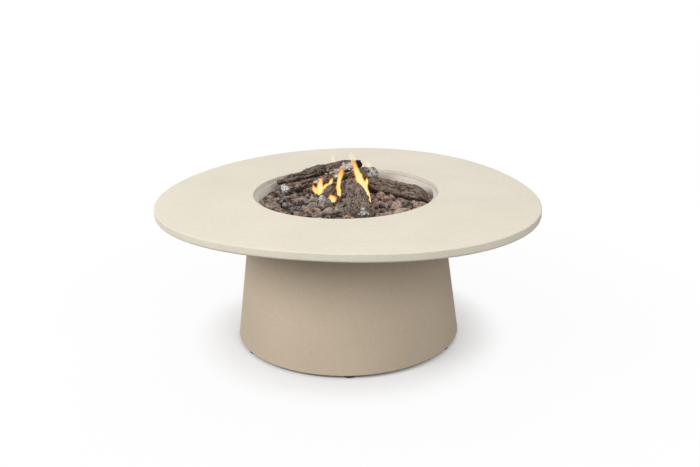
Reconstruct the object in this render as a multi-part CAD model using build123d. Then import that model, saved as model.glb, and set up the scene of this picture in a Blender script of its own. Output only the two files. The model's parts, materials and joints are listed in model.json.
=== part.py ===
from build123d import *
import math
import os
import random

# Gas fire pit table. Millimetres, +Z up, origin on the floor under the middle of the base.
# The front of the table is -Y, and its controls are on the rear, +Y.

# Clearances shared by all pieces
overrun = 5.0
slip_gap = 0.05
seat_gap = 0.3
bolt_hole_gap = 0.3
bend_run_share = 0.45

# Table top
top_height = 457.0
top_thickness = 24.0
top_mean_radius = 568.5
top_upper_round = 2.5
top_lower_round = 6.0
outline_points = 36
outline_wave_shares = (0.0227, 0.0199, 0.0354, 0.0075)
outline_wave_turns = (-58, -114, -121, 164)

# Fire opening in the top
fire_hole_radius = 281.0
fire_hole_round = 1.5
pan_ledge_depth = 12.0
pan_ledge_width = 10.0

# Base
foot_height = 8.0
base_bottom_radius = 348.0
base_top_radius = 289.0
base_wall = 16.0
base_edge_chamfer = 3.0
seat_recess_depth = 4.0
seat_recess_gap = 2.0
seat_pad_thickness = 2.0
seat_pad_radius = 6.0
seat_pad_count = 6

# Levelling feet
foot_count = 6
foot_circle_radius = 325.0
foot_first_angle = -90
foot_pad_radius = 19.0
foot_pad_chamfer = 2.0
foot_pocket_depth = 4.0
foot_stud_radius = 5.0
foot_stud_length = 46.0
foot_insert_radius = 8.0
foot_insert_length = 30.0
foot_boss_radius = 20.0
foot_boss_height = 60.0
foot_bore_depth = 54.0

# Burner pan
pan_sheet = 1.5
pan_depth = 60.0
pan_flange_gap = 1.5
pan_wall_gap = 1.5
drain_hole_radius = 4.0
drain_circle_radius = 215.0
drain_count = 4

# Ring burner
burner_ring_radius = 140.0
burner_tube_radius = 8.0
burner_tube_wall = 1.2
burner_arm_radius = 6.5
burner_floor_gap = 4.0
burner_arm_count = 4
burner_port_radius = 1.5
burner_port_count = 24
hub_radius = 18.0
hub_height = 20.5
nipple_radius = 10.5
nipple_bore = 7.0
nipple_length = 30.0
burner_nut_flats = 32.0
burner_nut_height = 8.0

# Air mixer under the pan
mixer_radius = 13.5
mixer_length = 66.0
mixer_socket_depth = 18.0
mixer_collar_radius = 17.0
mixer_collar_height = 5.0
mixer_window_height = 20.0
mixer_window_width = 12.0
mixer_window_drop = 16.0
shutter_wall = 1.5
shutter_lap = 3.0
shutter_tab_reach = 10.0
shutter_tab_width = 8.0
jet_length = 30.0
jet_insert = 20.0
jet_hole_radius = 1.0
jet_hole_depth = 8.0
hose_radius = 6.0
hose_socket_depth = 6.0
hose_end_run = 30.0

# Control panel on the rear wall
panel_height_above_floor = 235.0
panel_width = 110.0
panel_height = 130.0
panel_corner_radius = 8.0
panel_sheet = 2.0
panel_edge_gap = 0.8
panel_land = 12.0
gasket_thickness = 1.5
panel_screw_radius = 2.0
panel_screw_head_radius = 4.0
panel_screw_head_height = 2.4
panel_screw_depth = 10.0

# Gas valve, its spindle and the knob
valve_drop = 28.0
valve_width = 34.0
valve_height = 40.0
valve_depth = 46.0
valve_edge_round = 3.0
valve_nose_radius = 9.0
valve_nose_reach = 9.0
valve_bore_radius = 6.0
valve_bore_floor = 5.0
valve_port_radius = 9.0
valve_port_length = 12.0
valve_passage_radius = 3.0
valve_nut_flats = 24.0
valve_nut_height = 5.0
plunger_length = 20.0
plunger_front_gap = 2.0
spindle_radius = 3.0
spindle_seat_gap = 6.0
knob_radius = 24.0
knob_height = 24.0
knob_push_travel = 4.0
knob_back_gap = 1.5
knob_hollow_radius = 17.0
knob_hollow_depth = 9.0
knob_socket_depth = 9.0
knob_edge_round = 3.0
knob_grip_count = 18
knob_grip_radius = 1.8
knob_mark_width = 2.4
knob_mark_depth = 0.8
valve_spring_coil_radius = 4.5
valve_spring_wire_radius = 0.6
valve_spring_turns = 5

# Push igniter above the valve
igniter_rise = 32.0
igniter_radius = 11.0
igniter_flange_radius = 15.0
igniter_flange_height = 2.5
igniter_nose_reach = 7.0
igniter_end_wall = 3.0
igniter_nut_flats = 28.0
igniter_nut_height = 6.0
button_radius = 8.5
button_height = 15.0
button_proud = 4.0
button_travel = 3.0
button_edge_round = 1.5
battery_radius = 7.0
battery_length = 50.0
battery_tip_radius = 2.7
battery_tip_height = 1.0
igniter_spring_coil_radius = 4.6
igniter_spring_wire_radius = 0.6
igniter_spring_turns = 3

# Gas inlet low on the rear wall
inlet_height = 95.0
inlet_pocket_radius = 20.0
inlet_pocket_depth = 4.0
inlet_web = 9.0
inlet_hex_flats = 27.0
inlet_hex_height = 6.0
inlet_shank_radius = 9.0
inlet_shank_tail = 18.0
inlet_thread_radius = 7.94
inlet_thread_length = 18.0
inlet_thread_chamfer = 1.5
inlet_bore_radius = 4.0
inlet_nut_height = 7.0
inlet_tube_radius = 5.0
tube_socket_depth = 8.0
tube_end_run = 10.0

# Pilot: spark electrode and thermocouple beside the ring burner
pilot_radius = 168.0
pilot_angle = 100
pilot_plate_length = 46.0
pilot_plate_width = 26.0
pilot_sheet = 2.0
pilot_hood_height = 36.0
pilot_probe_spacing = 18.0
electrode_radius = 3.5
electrode_height = 26.0
electrode_tail = 12.0
rod_radius = 1.0
rod_proud = 12.0
thermocouple_radius = 3.0
thermocouple_height = 32.0
pilot_screw_radius = 1.6
pilot_screw_head_radius = 3.2
pilot_screw_head_height = 2.0
pilot_screw_inset = 3.6
lead_radius = 1.5
capillary_radius = 1.2
lead_socket_depth = 4.0
lead_end_run = 12.0
lead_rise_run = 15.0
capillary_end_run = 19.0

# Lava rock bed
rock_spacing = 40.0
rock_jitter_share = 0.26
rock_gap = 0.6
rock_bed_edge = 37.0
rock_bed_mound = 10.0
rock_height_spread = 9.0
rock_belt_rise = 3.0
rock_belt_height = 4.0
rock_least_crown = 6.0
rock_foot_shares = (0.66, 0.8)
rock_crown_shares = (0.42, 0.66)
rock_drift_share = 0.12
rock_wall_sides = 48
rock_log_reach = 18.0
rock_log_bite = 4.0
pilot_keep_out = 27.0
rock_seed = 11
rock_tones = ("grey", "brown", "red")
rock_tone_shares = (0.4, 0.42, 0.18)

# Ceramic logs, placed in shares of the pan's radius and of the pile's height above the bed
log_radius = 15.0
log_pile_height = 100.0
log_bark_shares = (1.0, 0.92, 1.05, 0.95, 1.03, 0.9, 1.0, 0.94, 1.06, 0.91, 0.98)
log_station_shares = (0.0, 0.05, 0.28, 0.52, 0.76, 0.95, 1.0)
log_swell_shares = (0.84, 1.0, 0.95, 1.04, 0.97, 1.0, 0.82)
log_shares = {
    "log_right": ((0.287, 0.396, 0.25), (0.896, -0.056, 0.18), 1.5, 1.3, 0.95, 0.0),
    "log_stub": ((-0.284, 0.019, 0.08), (-0.112, 0.3, 0.27), 1.0, 0.95, 0.95, 0.0),
    "log_back": ((0.347, 0.69, 0.35), (0.104, 0.866, 0.27), 1.2, 1.15, 0.95, 0.0),
    "log_middle": ((-0.72, 0.284, 0.26), (0.101, 0.418, 0.6), 1.0, 0.92, 1.0, 0.02),
    "log_front": ((0.157, -0.616, 0.14), (0.063, 0.321, 0.53), 2.3, 0.85, 0.6, 0.03),
    "log_top": ((-0.787, 0.28, 0.45), (0.187, 0.44, 0.925), 0.75, 1.05, 1.0, 0.02),
}

# Sizes worked out from the values above
top_underside = top_height - top_thickness
base_top = top_underside + seat_recess_depth - seat_pad_thickness
base_slope = (base_bottom_radius - base_top_radius) / (base_top - foot_height)
wall_lean = math.degrees(math.atan(base_slope))
pan_ledge_radius = fire_hole_radius - pan_ledge_width
pan_ledge_height = top_height - pan_ledge_depth
pan_radius = pan_ledge_radius - pan_wall_gap
pan_inner_radius = pan_radius - pan_sheet
pan_rim = pan_ledge_height + pan_sheet
pan_underside = pan_rim - pan_depth
pan_floor = pan_underside + pan_sheet
burner_axis_height = pan_floor + burner_floor_gap + burner_tube_radius
burner_top = burner_axis_height + burner_tube_radius
nipple_end = pan_underside - nipple_length
mixer_top = nipple_end + mixer_socket_depth
mixer_bottom = mixer_top - mixer_length
jet_bottom = mixer_bottom + jet_insert - jet_length
rock_bed = top_height - rock_bed_edge
rock_perch = max(burner_top, pan_floor + hub_height) + seat_gap
foot_pad_height = foot_height - seat_gap
log_room = seat_gap / min(log_bark_shares)


def wall_radius(height):
    """Outer radius of the base at a height above the floor."""
    return base_bottom_radius - base_slope * (height - foot_height)


def rod(radius, low, high):
    """Upright round bar between two heights."""
    return Pos(0, 0, low) * Cylinder(radius, high - low, align=(Align.CENTER, Align.CENTER, Align.MIN))


def pipe(outer, inner, low, high):
    """Upright tube between two heights."""
    return rod(outer, low, high) - rod(inner, low - overrun, high + overrun)


def hexagon(flats, low, high):
    """Upright hexagon bar between two heights."""
    return Pos(0, 0, low) * extrude(RegularPolygon(flats / 2, 6, major_radius=False), high - low)


def turned(points):
    """Solid turned about Z from (radius, height) corners."""
    return revolve(Plane.XZ * make_face(Polyline(*points, close=True)), Axis.Z)


def around(count, radius, first_angle=0):
    """Places on a circle, each turned to face outward."""
    return [Rot(0, 0, first_angle + i * 360 / count) * Pos(radius, 0, 0) for i in range(count)]


def group(solids):
    """Separate solids kept together as one piece of the list."""
    return Compound(children=[solid for solid in solids])


def local_point(place, x, y, z):
    """World point of a place's own coordinates."""
    return (place * Pos(x, y, z)).position


def bent_tube(name, points, radius):
    """Round tube along straight runs joined by arcs as large as the runs allow."""
    points = [Vector(*point) for point in points]
    radii = []
    for before, corner, after in zip(points, points[1:], points[2:]):
        turn = (corner - before).get_angle(after - corner)
        run = min((corner - before).length, (after - corner).length)
        radii.append(bend_run_share * run / math.tan(math.radians(turn) / 2))
    path = FilletPolyline(*points, radius=radii)
    start = Plane(origin=path @ 0, z_dir=path % 0)
    tube = sweep(start * Circle(radius), path=path)
    bulk = tube.volume / (math.pi * radius ** 2 * path.length)
    print(name, "radii", [round(r, 1) for r in radii], "volume share", round(bulk, 4))
    return tube


def coil(coil_radius, wire_radius, turns, low, high):
    """Compression spring between two heights, with its wire just inside them."""
    height = high - low - 2 * wire_radius
    path = Helix(pitch=height / turns, height=height, radius=coil_radius)
    start = Plane(origin=path @ 0, z_dir=path % 0)
    return Pos(0, 0, low + wire_radius) * sweep(start * Circle(wire_radius), path=path, is_frenet=True)


def faceted(rings):
    """Closed solid with flat faces through rings of matching points."""
    faces = [Face(Wire.make_polygon(rings[0])), Face(Wire.make_polygon(rings[-1]))]
    for lower, upper in zip(rings, rings[1:]):
        for i, point in enumerate(lower):
            j = (i + 1) % len(lower)
            faces.append(Face(Wire.make_polygon([point, lower[j], upper[j], upper[i]])))
    return Solid(Shell(faces))


# Table top: pebble outline, rounded arrises, stepped fire opening, shallow seat recess below
def outline_radius(angle):
    """Radius of the pebble outline at an angle in degrees."""
    wave = 1
    for i, (share, turn) in enumerate(zip(outline_wave_shares, outline_wave_turns)):
        wave += share * math.cos(math.radians((i + 1) * angle - turn))
    return top_mean_radius * wave


def make_table_top():
    points = []
    for i in range(outline_points):
        angle = i * 360 / outline_points
        radius = outline_radius(angle)
        points.append((radius * math.cos(math.radians(angle)), radius * math.sin(math.radians(angle))))
    slab = Pos(0, 0, top_underside) * extrude(make_face(Spline(*points, periodic=True)), top_thickness)
    slab = fillet(slab.edges().group_by(Axis.Z)[-1], top_upper_round)
    slab = fillet(slab.edges().group_by(Axis.Z)[0], top_lower_round)
    slab -= rod(pan_ledge_radius, top_underside - overrun, top_height + overrun)
    slab -= rod(fire_hole_radius, pan_ledge_height, top_height + overrun)
    recess_radius = base_top_radius + seat_recess_gap
    slab -= rod(recess_radius, top_underside - overrun, top_underside + seat_recess_depth)
    rim = slab.edges().filter_by(GeomType.CIRCLE).group_by(Axis.Z)[-1]
    return fillet(rim, fire_hole_round)


# Base: hollow cone with bosses for the feet, a panel pocket and a hole for the gas inlet
def panel_place():
    """Panel frame: X to the right seen from behind, Y up the wall, Z out of the wall."""
    lean = math.radians(wall_lean)
    origin = (0, wall_radius(panel_height_above_floor), panel_height_above_floor)
    return Location(Plane(origin=origin, x_dir=(-1, 0, 0), z_dir=(0, math.cos(lean), math.sin(lean))))


def inlet_place():
    """Inlet frame: Z level, pointing out of the rear wall."""
    origin = (0, wall_radius(inlet_height), inlet_height)
    return Location(Plane(origin=origin, x_dir=(-1, 0, 0), z_dir=(0, 1, 0)))


panel_wall_radius = wall_radius(panel_height_above_floor)
panel_sag = panel_wall_radius - math.sqrt(panel_wall_radius ** 2 - (panel_width / 2) ** 2)
panel_face = -panel_sag
panel_back = panel_face - panel_sheet
pocket_floor = panel_back - gasket_thickness
panel_screw_x = panel_width / 2 - panel_land / 2
panel_screw_y = panel_height / 2 - panel_land / 2
panel_screw_places = [Pos(sx * panel_screw_x, sy * panel_screw_y, 0) for sx in (-1, 1) for sy in (-1, 1)]
inlet_face = -inlet_pocket_depth
inlet_inner_face = inlet_face - inlet_web


def panel_slab(width, height, low, high):
    """Plate with rounded corners in the panel's own frame."""
    return Pos(0, 0, low) * extrude(RectangleRounded(width, height, panel_corner_radius), high - low)


def make_base_shell():
    outer = turned([
        (0, foot_height),
        (base_bottom_radius - base_edge_chamfer, foot_height),
        (wall_radius(foot_height + base_edge_chamfer), foot_height + base_edge_chamfer),
        (base_top_radius, base_top),
        (0, base_top),
    ])
    low = foot_height - overrun
    high = base_top + overrun
    hollow = turned([
        (0, low),
        (wall_radius(low) - base_wall, low),
        (wall_radius(high) - base_wall, high),
        (0, high),
    ])
    shell = outer - hollow
    for place in around(foot_count, foot_circle_radius, foot_first_angle):
        boss = place * rod(foot_boss_radius, foot_height, foot_height + foot_boss_height)
        shell += boss & outer
    for place in around(foot_count, foot_circle_radius, foot_first_angle):
        insert_top = foot_height + foot_insert_length
        shell -= place * rod(foot_insert_radius + slip_gap, foot_height - overrun, insert_top)
        shell -= place * rod(foot_stud_radius + bolt_hole_gap, foot_height, foot_height + foot_bore_depth)
    pocket_width, pocket_height = panel_width + 2 * panel_edge_gap, panel_height + 2 * panel_edge_gap
    pocket = panel_slab(pocket_width, pocket_height, pocket_floor, base_wall)
    window = panel_slab(panel_width - 2 * panel_land, panel_height - 2 * panel_land, -2 * base_wall, 0)
    shell -= panel_place() * pocket
    shell -= panel_place() * window
    for spot in panel_screw_places:
        hole = rod(panel_screw_radius + slip_gap, panel_face - panel_screw_depth, 0)
        shell -= panel_place() * spot * hole
    shell -= inlet_place() * rod(inlet_pocket_radius, inlet_face, base_wall)
    shell -= inlet_place() * rod(inlet_pocket_radius, inlet_inner_face - base_wall, inlet_inner_face)
    shell -= inlet_place() * rod(inlet_shank_radius + bolt_hole_gap, -base_wall - overrun, overrun)
    return shell


def make_seat_pads():
    pad = rod(seat_pad_radius, base_top, base_top + seat_pad_thickness)
    return group([place * pad for place in around(seat_pad_count, base_top_radius - base_wall / 2)])


# Levelling feet
def make_foot_inserts():
    insert_top = foot_height + foot_insert_length
    insert = pipe(foot_insert_radius, foot_stud_radius + slip_gap, foot_height, insert_top)
    return group([place * insert for place in around(foot_count, foot_circle_radius, foot_first_angle)])


def make_foot_pad():
    pad = rod(foot_pad_radius, 0, foot_pad_height)
    pad = chamfer(pad.edges().filter_by(GeomType.CIRCLE), foot_pad_chamfer)
    pocket_low = foot_pad_height - foot_pocket_depth
    return pad - rod(foot_stud_radius + slip_gap, pocket_low, foot_pad_height + overrun)


def make_foot_stud():
    low = foot_pad_height - foot_pocket_depth
    stud = rod(foot_stud_radius, low, low + foot_stud_length)
    return chamfer(stud.edges().group_by(Axis.Z)[-1], foot_stud_radius / 4)


# Burner pan dropped into the fire opening
pilot_place = Rot(0, 0, pilot_angle) * Pos(pilot_radius, 0, 0)
electrode_spot = Pos(0, -pilot_probe_spacing / 2, 0)
thermocouple_spot = Pos(0, pilot_probe_spacing / 2, 0)
pilot_screw_reach = pilot_plate_length / 2 - pilot_screw_inset
pilot_screw_spots = [Pos(0, side * pilot_screw_reach, 0) for side in (-1, 1)]


def make_burner_pan():
    flange_radius = fire_hole_radius - pan_flange_gap
    pan = turned([
        (0, pan_underside),
        (pan_radius, pan_underside),
        (pan_radius, pan_ledge_height),
        (flange_radius, pan_ledge_height),
        (flange_radius, pan_rim),
        (pan_inner_radius, pan_rim),
        (pan_inner_radius, pan_floor),
        (0, pan_floor),
    ])
    pan -= rod(nipple_radius + bolt_hole_gap, pan_underside - overrun, pan_floor + overrun)
    drain = rod(drain_hole_radius, pan_underside - overrun, pan_floor + overrun)
    for place in around(drain_count, drain_circle_radius, 180 / drain_count):
        pan -= place * drain
    low, high = pan_underside - overrun, pan_floor + overrun
    pan -= pilot_place * electrode_spot * rod(electrode_radius + bolt_hole_gap, low, high)
    pan -= pilot_place * thermocouple_spot * rod(thermocouple_radius + bolt_hole_gap, low, high)
    for spot in pilot_screw_spots:
        pan -= pilot_place * spot * rod(pilot_screw_radius + slip_gap, low, high)
    return pan


# Ring burner: welded ring, arms and hub with a hollow inside and ports on top
def burner_form(inset):
    """Ring, arms and hub, drawn in on all sides by an inset."""
    form = Pos(0, 0, burner_axis_height) * Torus(burner_ring_radius, burner_tube_radius - inset)
    arm_start = hub_radius - burner_arm_radius
    arm = Rot(0, 90, 0) * rod(burner_arm_radius - inset, arm_start, burner_ring_radius)
    arm = Pos(0, 0, burner_axis_height) * arm
    for place in around(burner_arm_count, 0, 180 / burner_arm_count):
        form += place * arm
    return form + rod(hub_radius - inset, pan_floor + inset, pan_floor + hub_height - inset)


def make_burner_ring():
    burner = burner_form(0) + rod(nipple_radius, nipple_end, pan_floor + hub_height / 2)
    burner -= burner_form(burner_tube_wall)
    burner -= rod(nipple_bore, nipple_end - overrun, pan_floor + hub_height / 2)
    port = rod(burner_port_radius, burner_axis_height, burner_top + overrun)
    for place in around(burner_port_count, burner_ring_radius, 180 / burner_port_count):
        burner -= place * port
    return burner


def make_burner_nut():
    low = pan_underside - burner_nut_height
    nut = hexagon(burner_nut_flats, low, pan_underside)
    return nut - rod(nipple_radius + slip_gap, low - overrun, pan_underside + overrun)


# Air mixer, its turning shutter and the gas jet
mixer_inner_radius = nipple_radius + slip_gap
mixer_window_top = mixer_top - mixer_window_drop - shutter_lap
mixer_window_low = mixer_window_top - mixer_window_height
shutter_top = mixer_window_top + shutter_lap
shutter_low = mixer_window_low - shutter_lap


def air_windows(low, high, reach):
    """Cutting bars for the pair of air windows, turned to X and Y."""
    bar = Pos(0, 0, (low + high) / 2) * Box(2 * reach, mixer_window_width, high - low)
    return bar + Rot(0, 0, 90) * bar


def make_air_mixer():
    body = rod(mixer_radius, mixer_bottom, mixer_top)
    collar_top = shutter_low - seat_gap
    body += rod(mixer_collar_radius, collar_top - mixer_collar_height, collar_top)
    body -= rod(mixer_inner_radius, mixer_bottom - overrun, mixer_top + overrun)
    body -= air_windows(mixer_window_low, mixer_window_top, mixer_radius + overrun)
    return body


def make_air_shutter():
    outer = mixer_radius + slip_gap + shutter_wall
    sleeve = pipe(outer, mixer_radius + slip_gap, shutter_low, shutter_top)
    sleeve -= air_windows(mixer_window_low, mixer_window_top, outer + overrun)
    tab = Box(shutter_tab_reach, shutter_tab_width, shutter_wall, align=(Align.MIN, Align.CENTER, Align.MAX))
    tab_start = outer - shutter_wall / 2
    return sleeve + Rot(0, 0, 45) * Pos(tab_start, 0, shutter_top) * tab


def make_gas_jet():
    jet = rod(mixer_inner_radius - slip_gap, mixer_bottom, mixer_bottom + jet_insert)
    jet += hexagon(2 * mixer_radius, jet_bottom, mixer_bottom)
    jet -= rod(jet_hole_radius, jet_bottom, mixer_bottom + jet_insert + overrun)
    jet -= rod(hose_radius, mixer_bottom - overrun, mixer_bottom + jet_insert - jet_hole_depth)
    return jet - rod(hose_radius + slip_gap, jet_bottom - overrun, jet_bottom + hose_socket_depth)


# Control panel, gasket and screws
def make_control_panel():
    plate = panel_slab(panel_width, panel_height, panel_back, panel_face)
    low, high = panel_back - overrun, panel_face + overrun
    plate -= Pos(0, -valve_drop, 0) * rod(valve_nose_radius + bolt_hole_gap, low, high)
    plate -= Pos(0, igniter_rise, 0) * rod(igniter_radius + bolt_hole_gap, low, high)
    for spot in panel_screw_places:
        plate -= spot * rod(panel_screw_radius + bolt_hole_gap, low, high)
    return panel_place() * plate


def make_panel_gasket():
    gasket = panel_slab(panel_width, panel_height, pocket_floor, panel_back)
    low, high = pocket_floor - overrun, panel_back + overrun
    gasket -= panel_slab(panel_width - 2 * panel_land, panel_height - 2 * panel_land, low, high)
    for spot in panel_screw_places:
        gasket -= spot * rod(panel_screw_radius + bolt_hole_gap, low, high)
    return panel_place() * gasket


def make_panel_screws():
    screw = rod(panel_screw_radius, panel_face - panel_screw_depth, panel_face)
    head = rod(panel_screw_head_radius, panel_face, panel_face + panel_screw_head_height)
    head = fillet(head.edges().group_by(Axis.Z)[-1], panel_screw_head_height / 2)
    slot_size = panel_screw_head_radius / 4
    slot = Pos(0, 0, panel_face + panel_screw_head_height) * Box(panel_screw_radius * 2, slot_size, slot_size)
    screw = screw + head - slot - Rot(0, 0, 90) * slot
    return group([panel_place() * spot * screw for spot in panel_screw_places])


# Gas valve with its nut, plunger, spring and spindle
valve_place = panel_place() * Pos(0, -valve_drop, 0)
valve_rear = panel_back - valve_depth
valve_front = panel_face + valve_nose_reach
valve_seat = valve_rear + valve_bore_floor
valve_mid = panel_back - valve_depth / 2
plunger_front = valve_front - plunger_front_gap
plunger_back = plunger_front - plunger_length
knob_back = panel_face + knob_push_travel + knob_back_gap
knob_floor = knob_back + knob_hollow_depth
spindle_front = knob_floor + knob_socket_depth
spindle_back = valve_seat + spindle_seat_gap


def make_gas_valve():
    body = Pos(0, 0, valve_mid) * Box(valve_width, valve_height, valve_depth)
    body = fillet(body.edges().filter_by(Axis.Z), valve_edge_round)
    body += rod(valve_nose_radius, panel_back, valve_front)
    port_end = valve_height / 2 + valve_port_length
    port = Pos(0, 0, valve_mid) * Rot(90, 0, 0)
    body += port * rod(valve_port_radius, 0, port_end)
    body += rod(valve_port_radius, valve_rear - valve_port_length, valve_mid)
    tap = Pos(0, 0, valve_mid) * Rot(0, 90, 0)
    tap_end = valve_width / 2 + valve_port_length / 2
    body += tap * rod(valve_port_radius / 2, 0, tap_end)
    body -= rod(valve_bore_radius, valve_seat, valve_front + overrun)
    body -= port * rod(valve_passage_radius, 0, port_end + overrun)
    body -= rod(valve_passage_radius, valve_rear - valve_port_length - overrun, valve_seat + overrun)
    tube_end = inlet_tube_radius + slip_gap
    body -= port * rod(tube_end, port_end - tube_socket_depth, port_end + overrun)
    hose_seat = valve_rear - valve_port_length + hose_socket_depth
    body -= rod(hose_radius + slip_gap, valve_rear - valve_port_length - overrun, hose_seat)
    body -= tap * rod(capillary_radius + slip_gap, tap_end - lead_socket_depth, tap_end + overrun)
    return valve_place * body


def make_valve_nut():
    nut = hexagon(valve_nut_flats, panel_face, panel_face + valve_nut_height)
    nut -= rod(valve_nose_radius + slip_gap, panel_face - overrun, panel_face + valve_nut_height + overrun)
    return valve_place * nut


def make_valve_plunger():
    outer = valve_bore_radius - slip_gap
    return valve_place * pipe(outer, spindle_radius + slip_gap, plunger_back, plunger_front)


def make_valve_spring():
    spring = coil(valve_spring_coil_radius, valve_spring_wire_radius, valve_spring_turns, valve_seat,
                  plunger_back)
    return valve_place * spring


def make_valve_spindle():
    return valve_place * rod(spindle_radius, spindle_back, spindle_front)


def make_control_knob():
    knob = rod(knob_radius, knob_back, knob_back + knob_height)
    knob = fillet(knob.edges().group_by(Axis.Z)[-1], knob_edge_round)
    groove = rod(knob_grip_radius, knob_back - overrun, knob_back + knob_height + overrun)
    for place in around(knob_grip_count, knob_radius + knob_grip_radius / 2, 90 + 180 / knob_grip_count):
        knob -= place * groove
    knob -= rod(knob_hollow_radius, knob_back - overrun, knob_floor)
    knob -= rod(spindle_radius + slip_gap, knob_floor - overrun, spindle_front)
    mark = Box(knob_mark_width, knob_radius, knob_mark_depth * 2,
               align=(Align.CENTER, Align.MIN, Align.CENTER))
    return valve_place * (knob - Pos(0, knob_radius / 3, knob_back + knob_height) * mark)


# Push igniter
igniter_axis = panel_place() * Pos(0, igniter_rise, 0)
igniter_front = panel_face + igniter_nose_reach
button_front = igniter_front + button_proud
button_back = button_front - button_height
button_room = button_back - button_travel - seat_gap
spring_floor = button_room - igniter_spring_wire_radius * (igniter_spring_turns + 3)
battery_front = spring_floor - battery_tip_height
battery_back = battery_front - battery_length
igniter_rear = battery_back - igniter_end_wall


def make_igniter_body():
    body = rod(igniter_radius, igniter_rear, igniter_front)
    body += rod(igniter_flange_radius, panel_face, panel_face + igniter_flange_height)
    body -= rod(battery_radius + seat_gap, battery_back, igniter_front)
    body -= rod(button_radius + slip_gap, button_room, igniter_front + overrun)
    lead_end = igniter_rear + igniter_end_wall / 2
    return igniter_axis * (body - rod(lead_radius + slip_gap, igniter_rear - overrun, lead_end))


def make_igniter_nut():
    low = panel_back - igniter_nut_height
    nut = hexagon(igniter_nut_flats, low, panel_back)
    return igniter_axis * (nut - rod(igniter_radius + slip_gap, low - overrun, panel_back + overrun))


def make_igniter_button():
    button = rod(button_radius, button_back, button_front)
    return igniter_axis * fillet(button.edges().group_by(Axis.Z)[-1], button_edge_round)


def make_igniter_spring():
    spring = coil(igniter_spring_coil_radius, igniter_spring_wire_radius, igniter_spring_turns, battery_front,
                  button_back)
    return igniter_axis * spring


def make_igniter_battery():
    cell = rod(battery_radius, battery_back, battery_front)
    return igniter_axis * (cell + rod(battery_tip_radius, battery_front, battery_front + battery_tip_height))


# Gas inlet through the rear wall
inlet_front = inlet_face + inlet_hex_height + inlet_thread_length
inlet_rear = inlet_inner_face - inlet_shank_tail


def make_gas_inlet():
    hex_top = inlet_face + inlet_hex_height
    fitting = rod(inlet_thread_radius, hex_top, inlet_front)
    fitting = chamfer(fitting.edges().group_by(Axis.Z)[-1], inlet_thread_chamfer)
    fitting += hexagon(inlet_hex_flats, inlet_face, hex_top)
    fitting += rod(inlet_shank_radius, inlet_rear, inlet_face)
    fitting -= rod(inlet_bore_radius, inlet_rear - overrun, inlet_front + overrun)
    tube_end = inlet_tube_radius + slip_gap
    return inlet_place() * (fitting - rod(tube_end, inlet_rear - overrun, inlet_rear + tube_socket_depth))


def make_gas_inlet_nut():
    low = inlet_inner_face - inlet_nut_height
    nut = hexagon(inlet_hex_flats, low, inlet_inner_face)
    nut -= rod(inlet_shank_radius + slip_gap, low - overrun, inlet_inner_face + overrun)
    return inlet_place() * nut


# Pilot assembly on the pan floor
def make_pilot_bracket():
    plate = Box(pilot_plate_width, pilot_plate_length, pilot_sheet,
                align=(Align.CENTER, Align.CENTER, Align.MIN))
    hood = Box(pilot_sheet, pilot_plate_length, pilot_hood_height, align=(Align.MAX, Align.CENTER, Align.MIN))
    bracket = Pos(0, 0, pan_floor) * (plate + Pos(pilot_plate_width / 2, 0, 0) * hood)
    low, high = pan_floor - overrun, pan_floor + pilot_sheet + overrun
    bracket -= electrode_spot * rod(electrode_radius + slip_gap, low, high)
    bracket -= thermocouple_spot * rod(thermocouple_radius + slip_gap, low, high)
    for spot in pilot_screw_spots:
        bracket -= spot * rod(pilot_screw_radius + slip_gap, low, high)
    return pilot_place * bracket


def make_pilot_screws():
    head_low = pan_floor + pilot_sheet
    screw = rod(pilot_screw_radius, pan_underside - pan_sheet, head_low)
    head = rod(pilot_screw_head_radius, head_low, head_low + pilot_screw_head_height)
    screw += fillet(head.edges().group_by(Axis.Z)[-1], pilot_screw_head_height / 2)
    return group([pilot_place * spot * screw for spot in pilot_screw_spots])


electrode_low = pan_underside - electrode_tail
electrode_top = pan_floor + electrode_height


def make_spark_electrode():
    tube = pipe(electrode_radius, rod_radius + slip_gap, electrode_low + lead_socket_depth, electrode_top)
    tube += pipe(electrode_radius, lead_radius + slip_gap, electrode_low, electrode_low + lead_socket_depth)
    return pilot_place * electrode_spot * tube


def make_electrode_rod():
    bar = rod(rod_radius, electrode_low + lead_socket_depth, electrode_top + rod_proud)
    return pilot_place * electrode_spot * bar


def make_thermocouple():
    probe = rod(thermocouple_radius, electrode_low, pan_floor + thermocouple_height)
    probe = fillet(probe.edges().group_by(Axis.Z)[-1], thermocouple_radius / 2)
    socket = rod(capillary_radius + slip_gap, electrode_low - overrun, electrode_low + lead_socket_depth)
    return pilot_place * thermocouple_spot * (probe - socket)


# Gas tubes and leads, held at both ends
def make_burner_hose():
    jet_end = (0, 0, jet_bottom + hose_socket_depth)
    valve_end = local_point(valve_place, 0, 0, valve_rear - valve_port_length + hose_socket_depth)
    valve_run = local_point(valve_place, 0, 0, valve_rear - valve_port_length - hose_end_run)
    route = [jet_end, (0, 0, 272), (0, 16, 236), (0, 52, 206), (0, 100, 192), (0, 152, 190), valve_run,
             valve_end]
    return bent_tube("burner_hose", route, hose_radius)


def make_inlet_tube():
    inlet_end = local_point(inlet_place(), 0, 0, inlet_rear + tube_socket_depth)
    inlet_run = local_point(inlet_place(), 0, 0, inlet_rear - tube_end_run)
    port_end = valve_height / 2 + valve_port_length
    port_run = local_point(valve_place, 0, -port_end - tube_end_run, valve_mid)
    port_seat = local_point(valve_place, 0, tube_socket_depth - port_end, valve_mid)
    route = [inlet_end, inlet_run, (0, 276, 102), (0, 268, 122), port_run, port_seat]
    return bent_tube("inlet_tube", route, inlet_tube_radius)


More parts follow.
